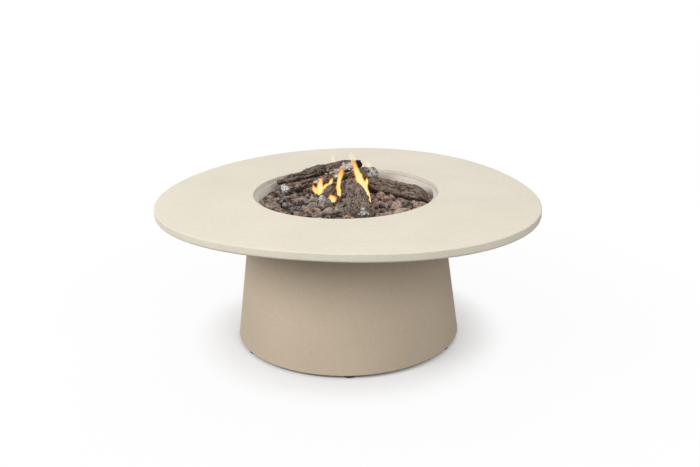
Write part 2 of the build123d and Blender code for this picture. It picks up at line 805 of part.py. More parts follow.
def make_igniter_lead():
    start = local_point(igniter_axis, 0, 0, igniter_rear + igniter_end_wall / 2)
    run = local_point(igniter_axis, 0, 0, igniter_rear - lead_end_run)
    end = local_point(pilot_place * electrode_spot, 0, 0, electrode_low + lead_socket_depth)
    rise = local_point(pilot_place * electrode_spot, 0, 0, electrode_low - lead_rise_run)
    route = [start, run, (0, 206, 262), (-4, 186, 284), (-8, 176, 312), (-12, 170, 340), rise, end]
    return bent_tube("igniter_lead", route, lead_radius)


def make_thermocouple_lead():
    tap_end = valve_width / 2 + valve_port_length / 2
    start = local_point(valve_place, tap_end - lead_socket_depth, 0, valve_mid)
    run = local_point(valve_place, tap_end + capillary_end_run, 0, valve_mid)
    end = local_point(pilot_place * thermocouple_spot, 0, 0, electrode_low + lead_socket_depth)
    rise = local_point(pilot_place * thermocouple_spot, 0, 0, electrode_low - lead_rise_run)
    route = [start, run, (-44, 272, 222), (-50, 256, 250), (-49, 234, 280), (-46, 206, 308), (-43, 182, 334),
             rise, end]
    return bent_tube("thermocouple_lead", route, capillary_radius)


# Ceramic logs: bent, tapered and faceted like bark
def log_axis_point(name, share):
    """Point on a log's bowed axis, at a share of its length."""
    bow_share = log_shares[name][5]
    ends = []
    for x, y, z in log_shares[name][:2]:
        ends.append(Vector(x * pan_inner_radius, y * pan_inner_radius, rock_bed + z * log_pile_height))
    bow = Vector(0, 0, 4 * share * (1 - share) * bow_share * (ends[1] - ends[0]).length)
    return ends[0] + (ends[1] - ends[0]) * share + bow


def log_thickness(name, share):
    """Radius of a log at a share of its length."""
    start_share, end_share = log_shares[name][2:4]
    return log_radius * (start_share + (end_share - start_share) * share)


def make_log(name, grow=0):
    """One log, or with grow the room that it takes up with a gap all round."""
    flat_share = log_shares[name][4]
    along = (log_axis_point(name, 1) - log_axis_point(name, 0)).normalized()
    across = along.cross(Vector(0, 0, 1)).normalized()
    upward = across.cross(along)
    sides = len(log_bark_shares)
    rings = []
    for station, swell in zip(log_station_shares, log_swell_shares):
        radius = log_thickness(name, station) * swell + grow
        centre = log_axis_point(name, station) + along * grow * (2 * station - 1)
        ring = []
        for i, bark in enumerate(log_bark_shares):
            angle = 2 * math.pi * i / sides
            side = across * math.cos(angle) + upward * math.sin(angle) * flat_share
            ring.append(centre + side * radius * bark)
        rings.append(ring)
    return faceted(rings)


def make_logs():
    """All logs from the lowest up, each notched over the ones that it lies on."""
    logs = {}
    for name in log_shares:
        log = make_log(name)
        for lower in logs:
            log = log - make_log(lower, log_room)
        logs[name] = largest(log)
    return logs


def largest(shape):
    """The largest of the solids that a cut leaves."""
    return max(shape.solids(), key=lambda solid: solid.volume)


# Lava rocks: one faceted stone in each cell of a loose honeycomb over the pan floor
pilot_middle = tuple(pilot_place.position)[:2]


def rock_sites(chance):
    """Middles of the rocks, in jittered rows that fill the pan."""
    sites = []
    row_step = rock_spacing * math.sqrt(3) / 2
    rows = int(pan_inner_radius / row_step)
    jitter = rock_jitter_share * rock_spacing
    for row in range(-rows, rows + 1):
        for column in range(-rows - 1, rows + 2):
            x = (column + (row % 2) / 2) * rock_spacing + chance.uniform(-1, 1) * jitter
            y = row * row_step + chance.uniform(-1, 1) * jitter
            near_pilot = math.dist((x, y), pilot_middle) < pilot_keep_out + rock_spacing / 4
            if math.hypot(x, y) < pan_inner_radius - rock_spacing / 4 and not near_pilot:
                sites.append((x, y))
    return sites


def clipped(polygon, normal, limit):
    """The part of a convex polygon with normal . point up to a limit."""
    kept = []
    for here, after in zip(polygon, polygon[1:] + polygon[:1]):
        a = here[0] * normal[0] + here[1] * normal[1] - limit
        b = after[0] * normal[0] + after[1] * normal[1] - limit
        if a <= 0:
            kept.append(here)
        if a * b < 0:
            share = a / (a - b)
            kept.append((here[0] + share * (after[0] - here[0]), here[1] + share * (after[1] - here[1])))
    return kept


def rock_cell(site, sites):
    """Plan outline of one rock: nearer to its site than to any other, inside the pan wall."""
    x, y = site
    reach = 2 * rock_spacing
    cell = [(x - reach, y - reach), (x + reach, y - reach), (x + reach, y + reach), (x - reach, y + reach)]
    for other in sites:
        apart = math.dist(site, other)
        if 0 < apart < 2 * reach:
            normal = ((other[0] - x) / apart, (other[1] - y) / apart)
            middle = normal[0] * (x + other[0]) / 2 + normal[1] * (y + other[1]) / 2
            cell = clipped(cell, normal, middle - rock_gap / 2)
    half_step = math.pi / rock_wall_sides
    chord = (pan_inner_radius - seat_gap) * math.cos(half_step)
    for i in range(rock_wall_sides):
        normal = (math.cos(2 * half_step * i), math.sin(2 * half_step * i))
        cell = clipped(cell, normal, chord)
    apart = math.dist(site, pilot_middle)
    normal = ((pilot_middle[0] - x) / apart, (pilot_middle[1] - y) / apart)
    limit = normal[0] * pilot_middle[0] + normal[1] * pilot_middle[1] - pilot_keep_out
    return clipped(cell, normal, limit)


def over_burner(middle, reach):
    """True where a rock could touch the ring, an arm or the hub of the burner."""
    distance = math.hypot(*middle)
    if abs(distance - burner_ring_radius) < burner_tube_radius + reach or distance < hub_radius + reach:
        return True
    if distance > burner_ring_radius:
        return False
    for i in range(burner_arm_count):
        angle = math.radians((i + 0.5) * 360 / burner_arm_count)
        side = abs(middle[0] * math.sin(angle) - middle[1] * math.cos(angle))
        ahead = middle[0] * math.cos(angle) + middle[1] * math.sin(angle)
        if ahead > 0 and side < burner_tube_radius + reach:
            return True
    return False


def log_seat_height(middle, reach):
    """Height up to which a rock rises to carry the lowest log over it, if one is near."""
    seats = []
    for name in log_shares:
        steps = 4 * len(log_station_shares)
        for i in range(steps + 1):
            point = log_axis_point(name, i / steps)
            if math.dist((point.X, point.Y), middle) < reach / 2:
                seats.append(point.Z - log_thickness(name, i / steps) * log_shares[name][4])
    return min(seats) + rock_log_bite if seats else None


def make_rock(site, sites, chance):
    cell = rock_cell(site, sites)
    middle = (sum(p[0] for p in cell) / len(cell), sum(p[1] for p in cell) / len(cell))
    reach = max(math.dist(middle, point) for point in cell)
    low = pan_floor + seat_gap
    if over_burner(middle, reach):
        low = rock_perch
    mound = rock_bed_mound * (1 - (math.hypot(*middle) / pan_inner_radius) ** 2)
    high = rock_bed + mound + chance.uniform(-1, 1) * rock_height_spread
    seat = log_seat_height(middle, reach)
    if seat is not None and seat - high < rock_log_reach:
        high = max(high, seat)
    belt_low = rock_perch + rock_belt_rise
    belt_high = belt_low + rock_belt_height
    high = max(high, belt_high + rock_least_crown)
    drift = [chance.uniform(-1, 1) * rock_drift_share for axis in range(2)]
    foot_share = chance.uniform(*rock_foot_shares)
    crown_share = chance.uniform(*rock_crown_shares)
    levels = [(foot_share, low, 0), (1, belt_low, 0), (1, belt_high, 0), (crown_share, high, 1)]
    rings = []
    for share, height, lean in levels:
        ring = []
        for x, y in cell:
            shift_x = lean * drift[0] * reach
            shift_y = lean * drift[1] * reach
            ring.append(Vector(middle[0] + (x - middle[0]) * share + shift_x,
                               middle[1] + (y - middle[1]) * share + shift_y, height))
        rings.append(ring)
    return faceted(rings)


def make_lava_rocks():
    """Rocks sorted by tone, each scooped out round the logs that it carries."""
    chance = random.Random(rock_seed)
    sites = rock_sites(chance)
    rooms = [make_log(name, log_room) for name in log_shares]
    heaps = {tone: [] for tone in rock_tones}
    for site in sites:
        rock = make_rock(site, sites, chance)
        tone = chance.choices(rock_tones, rock_tone_shares)[0]
        for room in rooms:
            if rock.bounding_box().overlaps(room.bounding_box()):
                rock = largest(rock - room)
        heaps[tone].append(rock)
    return {tone: group(rocks) for tone, rocks in heaps.items()}


pieces = {
    "table_top": make_table_top(),
    "base_shell": make_base_shell(),
    "top_seat_pads": make_seat_pads(),
    "foot_inserts": make_foot_inserts(),
    "burner_pan": make_burner_pan(),
    "burner_ring": make_burner_ring(),
    "burner_nut": make_burner_nut(),
    "air_mixer": make_air_mixer(),
    "air_shutter": make_air_shutter(),
    "gas_jet": make_gas_jet(),
    "burner_hose": make_burner_hose(),
    "control_panel": make_control_panel(),
    "panel_gasket": make_panel_gasket(),
    "panel_screws": make_panel_screws(),
    "gas_valve": make_gas_valve(),
    "valve_nut": make_valve_nut(),
    "valve_plunger": make_valve_plunger(),
    "valve_spring": make_valve_spring(),
    "valve_spindle": make_valve_spindle(),
    "control_knob": make_control_knob(),
    "igniter_body": make_igniter_body(),
    "igniter_nut": make_igniter_nut(),
    "igniter_button": make_igniter_button(),
    "igniter_spring": make_igniter_spring(),
    "igniter_battery": make_igniter_battery(),
    "gas_inlet": make_gas_inlet(),
    "gas_inlet_nut": make_gas_inlet_nut(),
    "inlet_tube": make_inlet_tube(),
    "pilot_bracket": make_pilot_bracket(),
    "pilot_screws": make_pilot_screws(),
    "spark_electrode": make_spark_electrode(),
    "electrode_rod": make_electrode_rod(),
    "igniter_lead": make_igniter_lead(),
    "thermocouple": make_thermocouple(),
    "thermocouple_lead": make_thermocouple_lead(),
}
for number, place in enumerate(around(foot_count, foot_circle_radius, foot_first_angle), start=1):
    pieces[f"foot_pad_{number}"] = place * make_foot_pad()
    pieces[f"foot_stud_{number}"] = place * make_foot_stud()
pieces.update(make_logs())
for tone, rocks in make_lava_rocks().items():
    pieces[f"lava_rocks_{tone}"] = rocks

os.makedirs("parts", exist_ok=True)
for name, piece in pieces.items():
    export_step(piece, f"parts/{name}.step")
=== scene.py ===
"""Looks of a gas fire pit table: finishes, lava rocks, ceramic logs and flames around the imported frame."""

import collections
import functools
import json
import random
from math import cos, hypot, pi, radians, sin

import bmesh
import bpy
import numpy as np
from mathutils import Matrix, Vector, noise


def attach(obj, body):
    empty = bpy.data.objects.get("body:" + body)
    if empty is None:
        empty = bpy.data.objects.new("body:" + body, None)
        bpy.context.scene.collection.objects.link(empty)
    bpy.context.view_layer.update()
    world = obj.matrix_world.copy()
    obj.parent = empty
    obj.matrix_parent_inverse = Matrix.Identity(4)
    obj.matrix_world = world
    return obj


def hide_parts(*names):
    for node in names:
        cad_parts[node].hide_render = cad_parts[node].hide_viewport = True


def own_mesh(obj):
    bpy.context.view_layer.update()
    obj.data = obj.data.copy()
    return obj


bl_info = {
    "name": "Fire pit table",
    "version": (1, 0, 0),
    "blender": (4, 5, 0),
    "location": "3D View > Sidebar > Fire pit",
    "description": "Finishes, lava rocks, ceramic logs and flames of a gas fire pit table",
    "category": "Object",
}

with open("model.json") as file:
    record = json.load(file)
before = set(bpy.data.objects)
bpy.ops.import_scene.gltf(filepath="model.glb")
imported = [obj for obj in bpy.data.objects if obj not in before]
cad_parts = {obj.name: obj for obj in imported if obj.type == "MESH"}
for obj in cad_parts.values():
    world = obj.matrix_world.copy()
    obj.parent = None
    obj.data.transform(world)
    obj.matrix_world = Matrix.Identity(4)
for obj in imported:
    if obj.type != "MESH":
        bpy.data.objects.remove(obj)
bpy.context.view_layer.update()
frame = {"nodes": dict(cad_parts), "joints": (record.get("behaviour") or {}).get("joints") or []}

MM = 0.001
SEAM = 0.01 * MM
TABLE = "table"
FEET = range(1, 7)
EVEN = (1.0, 1.0, 1.0)
WHITE = (1.0, 1.0, 1.0, 1.0)
SENSOR = 36.0


# Values that a user would change
def number(name, description, default, **kind):
    """A number, with its unit or subtype."""
    return bpy.props.FloatProperty(name=name, description=description, default=default, **kind)


def colour(name, description, default):
    """A colour in linear light."""
    return bpy.props.FloatVectorProperty(name=name, description=description, default=default,
                                         subtype="COLOR", size=3, min=0.0, max=1.0)


length = functools.partial(number, unit="LENGTH", precision=4, min=0.0)
share = functools.partial(number, subtype="FACTOR", min=0.0, max=1.0)
angle = functools.partial(number, unit="ROTATION")
power = functools.partial(number, subtype="POWER", min=0.0)


class FirePitFinishes(bpy.types.PropertyGroup):
    """Colours of the table's materials"""
    concrete_top: colour("Concrete top", "Cast sand concrete of the table top", (0.80, 0.738, 0.612))
    # Painted shade: the base's concrete is the top's made darker, partly a darker tone and partly shade under
    # the top's overhang
    concrete_base: colour("Concrete base", "Cast sand concrete of the base", (0.64, 0.528, 0.395))
    pan_steel: colour("Pan steel", "Satin sheet of the burner pan", (0.97, 0.93, 0.85))
    brushed_sheet: colour("Brushed sheet", "Stainless burner, control panel and hose", (0.60, 0.585, 0.56))
    zinc_plate: colour("Zinc plate", "Nuts, screws and studs", (0.56, 0.57, 0.59))
    spring_steel: colour("Spring steel", "Springs, spindle and probe", (0.42, 0.42, 0.43))
    turned_brass: colour("Turned brass", "Jet, mixer, inserts and inlet", (0.72, 0.52, 0.24))
    drawn_copper: colour("Drawn copper", "Gas tube and thermocouple lead", (0.74, 0.38, 0.22))
    cast_alloy: colour("Cast alloy", "Valve body", (0.58, 0.59, 0.60))
    black_plastic: colour("Black plastic", "Knob, igniter and foot pads", (0.022, 0.022, 0.024))
    black_rubber: colour("Black rubber", "Gasket and igniter lead", (0.030, 0.029, 0.028))
    pale_rubber: colour("Pale rubber", "Pads under the top", (0.66, 0.65, 0.61))
    red_plastic: colour("Red plastic", "Igniter button", (0.42, 0.025, 0.018))
    battery_jacket: colour("Battery jacket", "Cell in the igniter", (0.09, 0.09, 0.11))
    white_ceramic: colour("White ceramic", "Spark electrode", (0.84, 0.82, 0.77))
    mark_paint: colour("Mark paint", "Line on the knob", (0.82, 0.81, 0.78))
    lava_grey: colour("Grey lava", "Grey stones", (0.280, 0.230, 0.195))
    lava_brown: colour("Brown lava", "Brown stones", (0.282, 0.208, 0.167))
    lava_red: colour("Red lava", "Red stones", (0.40, 0.25, 0.20))
    bark: colour("Bark", "Ridges of the logs", (0.215, 0.166, 0.135))
    # Dark of the ash cracks, and painted shade in the bark's furrows
    bark_crack: colour("Bark cracks", "Furrows of the logs", (0.030, 0.022, 0.017))
    ash: colour("Ash", "Ashy ends and patches of the logs", (0.72, 0.72, 0.69))
    # Also the painted shade on the logs' undersides
    char: colour("Char", "Burnt places of the logs", (0.012, 0.009, 0.008))
    flame_core: colour("Flame core", "Hot middle of the flames", (1.0, 0.95, 0.60))
    flame_edge: colour("Flame edge", "Outer skin of the flames", (1.0, 0.50, 0.03))
    flame_tip: colour("Flame tip", "Fading tips of the flames", (0.90, 0.22, 0.015))
    flame_wisp: colour("Flame wisp", "Faint flames over the logs", (1.0, 0.90, 0.68))
    floor: colour("Floor", "Studio floor", (0.86, 0.86, 0.86))


class FirePitForms(bpy.types.PropertyGroup):
    """Sizes of the rocks, the bark and the flames"""
    rock_lump: length("Rock lumps", "Height of the lumps on a stone", 2.4 * MM)
    rock_pit: length("Rock pits", "Depth of the gas pits in a stone", 1.9 * MM)
    rock_crease: length("Rock creases", "Depth of the creases between a stone's lobes", 1.2 * MM)
    spring_wire: length("Spring wire", "Radius of the wire of the two springs", 0.6 * MM)
    log_step: length("Log mesh step", "Size of the faces on the logs", 1.25 * MM)
    bark_depth: length("Bark depth", "Depth of the furrows in the bark", 2.3 * MM)
    bark_pitch: length("Bark pitch", "Distance between two furrows", 4.6 * MM)
    bark_run: length("Bark run", "Length of a furrow along the log", 42.0 * MM)
    mark_width: length("Mark width", "Width of the line on the knob", 2.1 * MM)
    mark_start: length("Mark start", "From the middle of the knob to the line", 8.3 * MM)
    mark_end: length("Mark end", "From the middle of the knob to the outer end of the line", 21.0 * MM)
    flame_depth: share("Flame depth", "Depth of a flame as a share of its width", 0.75)
    flame_core: share("Flame core", "Width of the hot core as a share of the flame", 0.70)


class FirePitStage(bpy.types.PropertyGroup):
    """Camera, lamps and floor"""
    camera_back: length("Camera distance", "From the middle of the table to the camera", 2.47)
    camera_height: length("Camera height", "Height of the camera above the floor", 1.159)
    pitch: angle("Pitch", "Downward tilt of the camera", radians(18.8))
    aim: angle("Aim", "Turn of the camera towards the right", radians(0.233))
    roll: angle("Roll", "Roll of the camera", radians(1.22))
    lens: number("Lens", "Focal length for a 36 mm sensor", 43.2, subtype="DISTANCE_CAMERA")
    sky: number("Sky", "Strength of the even light", 0.36)
    key_power: power("Key power", "Lamp at the front left", 66.0)
    top_power: power("Top power", "Wide lamp above the table", 11.0)
    fill_power: power("Fill power", "Wide lamp at the front right", 36.0)
    back_power: power("Back power", "Lamp behind the table", 22.0)
    shadow_white: share("Shadow white", "Share of plain white in the floor beside the base", 0.36)
    floor_white: share("Floor white", "Share of plain white in the open floor", 0.94)


# Shader maths as Python expressions
def sum_method(operation, turned=False):
    """A method that adds a Math node for one operator, its two sides turned in the reflected form."""
    def method(self, other):
        first, second = (other, self) if turned else (self, other)
        return self.finish.math(operation, first, second)
    return method


class Value:
    """A node socket that takes part in sums."""

    def __init__(self, finish, socket):
        self.finish = finish
        self.socket = socket

    __add__ = sum_method("ADD")
    __radd__ = sum_method("ADD", True)
    __sub__ = sum_method("SUBTRACT")
    __rsub__ = sum_method("SUBTRACT", True)
    __mul__ = sum_method("MULTIPLY")
    __rmul__ = sum_method("MULTIPLY", True)
    __pow__ = sum_method("POWER")
    __rpow__ = sum_method("POWER", True)


class Finish:
    """One procedural material, written as expressions on its nodes."""

    def __init__(self, name, owner=None):
        self.material = owner or bpy.data.materials.new(name)
        self.material.use_nodes = True
        self.tree = self.material.node_tree
        self.tree.nodes.clear()

    def join(self, value, socket):
        """Set a socket to a number or colour, or link it to a value."""
        if isinstance(value, Value):
            self.tree.links.new(value.socket, socket)
        else:
            socket.default_value = value

    def node(self, kind, settings=None, sockets=None, result=0):
        """Add a shader node: its settings first, then the values or links of its sockets."""
        made = self.tree.nodes.new("ShaderNode" + kind)
        for name, value in (settings or {}).items():
            setattr(made, name, value)
        for key, value in (sockets or {}).items():
            self.join(value, made.inputs[key])
        return Value(self, made.outputs[result]) if made.outputs else None

    def math(self, operation, first, second):
        return self.node("Math", {"operation": operation}, {0: first, 1: second})

    def place(self, stretch=EVEN):
        """Place on the object, in metres, with its axes stretched."""
        here = self.node("TexCoord", result="Object")
        return self.node("VectorMath", {"operation": "MULTIPLY"}, {0: here, 1: stretch})

    def axes(self, vector):
        """The three numbers of a vector."""
        split = self.node("SeparateXYZ", None, {0: vector}).socket.node
        return [Value(self, output) for output in split.outputs]

    def noise(self, place, scale, detail=2.0, roughness=0.5):
        return self.node("TexNoise", None,
                         {"Vector": place, "Scale": scale, "Detail": detail, "Roughness": roughness})

    def cells(self, place, scale, result="Distance"):
        return self.node("TexVoronoi", None, {"Vector": place, "Scale": scale}, result)

    def chance(self, place, scale):
        """A random number for each cell."""
        return self.node("SeparateColor", None, {0: self.cells(place, scale, "Color")})

    def attribute(self, name):
        """A number stored on the points of the mesh."""
        return self.node("Attribute", {"attribute_name": name}, None, "Fac")

    def step(self, value, low, high):
        """A smooth step from 0 at low to 1 at high."""
        return self.node("MapRange", {"interpolation_type": "SMOOTHSTEP"},
                         {"Value": value, "From Min": low, "From Max": high})

    def mix(self, amount, first, second):
        """A blend of two colours."""
        return self.node("Mix", {"data_type": "RGBA"}, {0: amount, 6: first, 7: second}, 2)

    def bump(self, height, depth, strength):
        return self.node("Bump", None, {"Strength": strength, "Distance": depth, "Height": height})

    def surface(self, sockets):
        """Close the material with a Principled shader."""
        self.show(self.node("BsdfPrincipled", None, sockets))
        return self.material

    def show(self, shader):
        """Close the material with any shader."""
        self.node("OutputMaterial", None, {"Surface": shader})


def shade(tint, level=1.0, lift=0.0):
    """A colour made lighter or darker, all over or by channel, ready for a colour socket."""
    levels = level if isinstance(level, tuple) else (level,) * 3
    return tuple(min(1.0, channel * part + lift) for channel, part in zip(tint, levels)) + (1.0,)


# Finishes. Heights on the pan in metres, between which the painted shade on its flange's top and its soot set
# in
FLANGE_TOP = (0.44615, 0.44640)
SOOT_LINE = (0.415, 0.396)
SOOT = (0.12, 0.10, 0.085)


def sand_concrete(name, tint):
    """Cast concrete with fine sand, soft clouds and a few pinholes darkened as painted shade."""
    finish = Finish(name)
    here = finish.place()
    cloud = finish.noise(here, 6.0, 3.0)
    mottle = finish.noise(here, 70.0, 4.0, 0.6)
    grain = finish.noise(here, 1100.0, 2.0, 0.6)
    tone = 0.5 + (cloud - 0.5) * 0.7 + (mottle - 0.5) * 0.55 + (grain - 0.5) * 0.8
    body = finish.mix(tone, shade(tint, 0.90), shade(tint, 1.08))
    sand = finish.step(finish.chance(here, 520.0), 0.90, 0.98)
    body = finish.mix(sand * 0.28, body, shade(tint, (0.62, 0.55, 0.46)))
    hole = finish.step(finish.cells(here, 62.0), 0.055, 0.025)
    hole = hole * finish.step(finish.chance(here, 62.0), 0.55, 0.60)
    # Painted shade: the pinholes are darkened
    body = finish.mix(hole * 0.45, body, shade(tint, 0.45))
    height = grain * 0.35 + mottle * 0.5 - hole
    return finish.surface({
        "Base Color": body,
        "Roughness": 0.70 + grain * 0.16,
        "Specular IOR Level": 0.35,
        "Normal": finish.bump(height, 0.5 * MM, 0.45),
    })


def satin_pan(name, tint):
    """Satin sheet steel brushed round its middle, with heat stains, painted shade on its flange and soot low
    down.
    """
    finish = Finish(name)
    here = finish.place()
    x, y, z = finish.axes(here)
    turn = finish.math("ARCTAN2", y, x)
    out = (x * x + y * y) ** 0.5
    wound = finish.node("CombineXYZ", None, {0: turn * 2.5, 1: out * 900.0, 2: z * 900.0})
    streak = finish.noise(wound, 1.0, 3.0, 0.6)
    stain = finish.noise(here, 24.0, 4.0, 0.6)
    body = finish.mix(finish.step(stain, 0.42, 0.75) * 0.25, shade(tint), shade(tint, (0.86, 0.79, 0.70)))
    # Painted shade: the flange's top is darkened to stand for the shadow gap under the concrete's rim
    body = finish.mix(finish.step(z, *FLANGE_TOP) * 0.9, body, shade(tint, 0.52))
    soot = finish.step(z + (stain - 0.5) * 0.03, *SOOT_LINE)
    body = finish.mix(soot * 0.5, body, shade(SOOT))
    return finish.surface({
        "Base Color": body,
        "Metallic": 0.06,
        "Roughness": 0.48 + streak * 0.22,
        "Specular IOR Level": 0.25,
        "Normal": finish.bump(streak, 0.05 * MM, 0.5),
    })


def worked_metal(name, tint, roughness, stretch, scale, depth=0.04 * MM, dullness=0.5):
    """Bare or plated metal with fine tool marks along one way and a dull tarnish."""
    finish = Finish(name)
    streak = finish.noise(finish.place(stretch), scale, 3.0, 0.6)
    tarnish = finish.noise(finish.place(), 130.0, 4.0, 0.6)
    body = finish.mix(finish.step(tarnish, 0.4, 0.8) * dullness, shade(tint), shade(tint, 0.66))
    return finish.surface({
        "Base Color": body,
        "Metallic": 1.0,
        "Roughness": roughness + (streak - 0.5) * 0.22 + tarnish * 0.08,
        "Normal": finish.bump(streak, depth, 0.6),
    })


def moulded(name, tint, roughness, grain_scale, depth, coat=0.0):
    """Plastic, rubber or glaze with a fine moulded grain and slight wear."""
    finish = Finish(name)
    here = finish.place()
    grain = finish.noise(here, grain_scale, 3.0, 0.6)
    wear = finish.noise(here, 85.0, 4.0, 0.6)
    body = finish.mix(finish.step(wear, 0.45, 0.85) * 0.6, shade(tint), shade(tint, 0.8, 0.012))
    return finish.surface({
        "Base Color": body,
        "Roughness": roughness + (grain - 0.5) * 0.14 + wear * 0.06,
        "Coat Weight": coat,
        "Normal": finish.bump(grain, depth, 0.5),
    })


def corrugated_steel(name, tint):
    """Steel skin of the flexible gas hose, finely uneven and stained."""
    finish = Finish(name)
    here = finish.place()
    skin = finish.noise(here, 420.0, 1.0)
    stain = finish.noise(here, 60.0, 3.0)
    return finish.surface({
        "Base Color": finish.mix(stain * 0.5, shade(tint), shade(tint, 0.7)),
        "Metallic": 1.0,
        "Roughness": 0.30 + skin * 0.2,
        "Normal": finish.bump(skin, 0.2 * MM, 0.5),
    })


def porous_lava(name, tint):
    """Light volcanic stone: dull, pitted and uneven in colour, with painted shade in its hollows and gas pits
    and painted light on its lumps.
    """
    finish = Finish(name)
    here = finish.place()
    relief = finish.attribute("relief")
    stone = finish.attribute("stone")
    blush = finish.attribute("blush")
    patch = finish.noise(here, 85.0, 4.0, 0.62)
    grain = finish.noise(here, 480.0, 3.0, 0.65)
    pit = finish.step(finish.cells(here, 300.0), 0.45, 0.10) * finish.step(patch, 0.40, 0.56)
    dark = shade(tint, 0.12)
    light = shade(tint, 1.75, 0.04)
    # The relief carries painted shade in the hollows and painted light on the lumps
    tone = relief + (patch - 0.5) * 0.9 + (grain - 0.5) * 0.7 + (stone - 0.5) * 0.42 - 0.18
    body = finish.mix(finish.step(tone, 0.05, 0.50), dark, shade(tint))
    body = finish.mix(finish.step(tone, 0.42, 0.92) * 0.9, body, light)
    # Painted shade in the gas pits
    body = finish.mix(pit * 0.6, body, dark)
    body = finish.node("HueSaturation", None, {
        "Hue": 0.5 - blush * 0.03,
        "Saturation": 1.0 + blush * 0.7,
        "Value": 1.0 + blush * 0.40,
        "Color": body,
    })
    return finish.surface({
        "Base Color": body,
        "Roughness": 0.92,
        "Specular IOR Level": 0.2,
        "Normal": finish.bump(grain * 0.7 - pit * 0.9, 1.0 * MM, 0.85),
    })


def charred_bark(name, colours):
    """Ceramic bark: dark furrows and pale ridges painted from the relief as shade and light, cracked white
    ash, and char with painted shade on the undersides.
    """
    finish = Finish(name)
    here = finish.place()
    relief = finish.attribute("relief")
    ash = finish.attribute("ash")
    char = finish.attribute("char")
    patch = finish.noise(here, 75.0, 4.0, 0.62)
    grain = finish.noise(here, 620.0, 3.0, 0.7)
    tone = relief + (patch - 0.5) * 0.5 + (grain - 0.5) * 0.55
    warm = shade(colours.bark, (1.22, 0.96, 0.85))
    pale = shade(colours.bark, 1.9, 0.04)
    skin = finish.mix(finish.step(patch, 0.48, 0.66) * 0.8, shade(colours.bark), warm)
    # Painted shade in the furrows and painted light on the ridges, from the relief
    body = finish.mix(finish.step(tone, 0.10, 0.55), shade(colours.bark_crack), skin)
    body = finish.mix(finish.step(tone, 0.66, 1.06) * 0.8, body, pale)
    # Char and the painted shade on the undersides, in one dark colour
    body = finish.mix(char, body, shade(colours.char))
    crack = finish.step(finish.node("TexVoronoi", {"feature": "DISTANCE_TO_EDGE"},
                                    {"Vector": here, "Scale": 85.0}), 0.10, 0.02)
    crack = crack * finish.step(patch, 0.28, 0.52)
    flake = finish.step(ash + (grain - 0.5) * 0.3 + (patch - 0.5) * 0.9, 0.30, 0.58)
    flake = flake * finish.step(ash, 0.02, 0.30)
    fleck = finish.noise(here, 120.0, 2.0, 0.6)
    dust = finish.mix(finish.step(fleck, 0.34, 0.60), shade(colours.ash, 0.60), shade(colours.ash, 1.15))
    dust = finish.mix(crack * 0.55, dust, shade(colours.bark_crack))
    body = finish.mix(flake, body, dust)
    return finish.surface({
        "Base Color": body,
        "Roughness": 0.90,
        "Specular IOR Level": 0.22,
        "Normal": finish.bump(grain * 0.8 + patch * 0.5 - crack * flake * 0.6, 0.9 * MM, 0.85),
    })


def burning_gas(name, colours):
    """Flame: a hot core inside a clear orange skin that fades to its tip."""
    finish = Finish(name)
    core = finish.attribute("core")
    rise = finish.attribute("rise")
    faint = finish.attribute("faint")
    lick = finish.noise(finish.place((1.0, 1.0, 0.45)), 120.0, 2.0)
    skin = finish.mix(finish.step(rise, 0.35, 0.95), shade(colours.flame_edge), shade(colours.flame_tip))
    skin = finish.mix(finish.step(faint, 0.5, 0.7), skin, shade(colours.flame_wisp))
    heart = finish.mix(finish.step(rise, 0.45, 1.0), shade(colours.flame_core), shade(colours.flame_edge))
    glow = finish.mix(core, skin, heart)
    veil = 0.46 + core * 0.44 + (lick - 0.5) * 0.40
    veil = veil * (1.0 - finish.step(rise, 0.68, 1.0)) * (1.0 - faint)
    return finish.surface({
        "Base Color": (0.0, 0.0, 0.0, 1.0),
        "Roughness": 1.0,
        "Specular IOR Level": 0.0,
        "Emission Color": glow,
        "Emission Strength": 1.25,
        "Alpha": finish.math("MAXIMUM", veil, 0.0),
    })


# Helpers for the pieces
def dress(material, *nodes):
    """Give CAD nodes a finish."""
    for node in nodes:
        for place in frame["nodes"][node].material_slots:
            place.material = material


def add_object(name, data):
    """A new object in the scene."""
    made = bpy.data.objects.new(name, data)
    bpy.context.scene.collection.objects.link(made)
    return made


def add_piece(name, points, faces, material, slot=None, stands_for=(), body=TABLE, numbers=None):
    """A new smooth mesh that rides on a CAD body, with numbers stored on its points."""
    mesh = bpy.data.meshes.new(name)
    mesh.from_pydata([tuple(point) for point in points], [], [tuple(face) for face in faces])
    mesh.polygons.foreach_set("use_smooth", [True] * len(mesh.polygons))
    for key, values in (numbers or {}).items():
        mesh.attributes.new(key, "FLOAT", "POINT").data.foreach_set("value", np.asarray(values, np.float32))
    mesh.update()
    mesh.materials.append(material)
    piece = add_object(name, mesh)
    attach(piece, body)
    if stands_for:
        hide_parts(*stands_for)
    return piece


def joint_axes(name, sign=1.0):
    """A joint, and the axes of the control panel at it: out, up and to the side."""
    joint = next(joint for joint in frame["joints"] if joint["name"] == name)
    out = (sign * Vector(joint["axis"])).normalized()
    up = out.cross(Vector((-1.0, 0.0, 0.0))).normalized()
    return joint, out, up, up.cross(out)


def tube_faces(rings, sides):
    """Outward faces of a closed tube, from its first ring of points to its last."""
    faces = [list(range(sides)), [rings * sides + i for i in reversed(range(sides))]]
    for low in range(0, rings * sides, sides):
        for i in range(sides):
            j = (i + 1) % sides
            faces.append([low + i, low + sides + i, low + sides + j, low + j])
    return faces


def closed_form(node):
    """A CAD node's surface with the seams between its faces closed."""
    form = bmesh.new()
    form.from_mesh(frame["nodes"][node].data)
    bmesh.ops.remove_doubles(form, verts=form.verts, dist=SEAM)
    form.verts.index_update()
    return form


def points_and_faces(form):
    """Points and faces of a form, which is then let go."""
    form.verts.index_update()
    points = np.array([vert.co for vert in form.verts])
    faces = [[vert.index for vert in face.verts] for face in form.faces]
    form.free()
    return points, faces


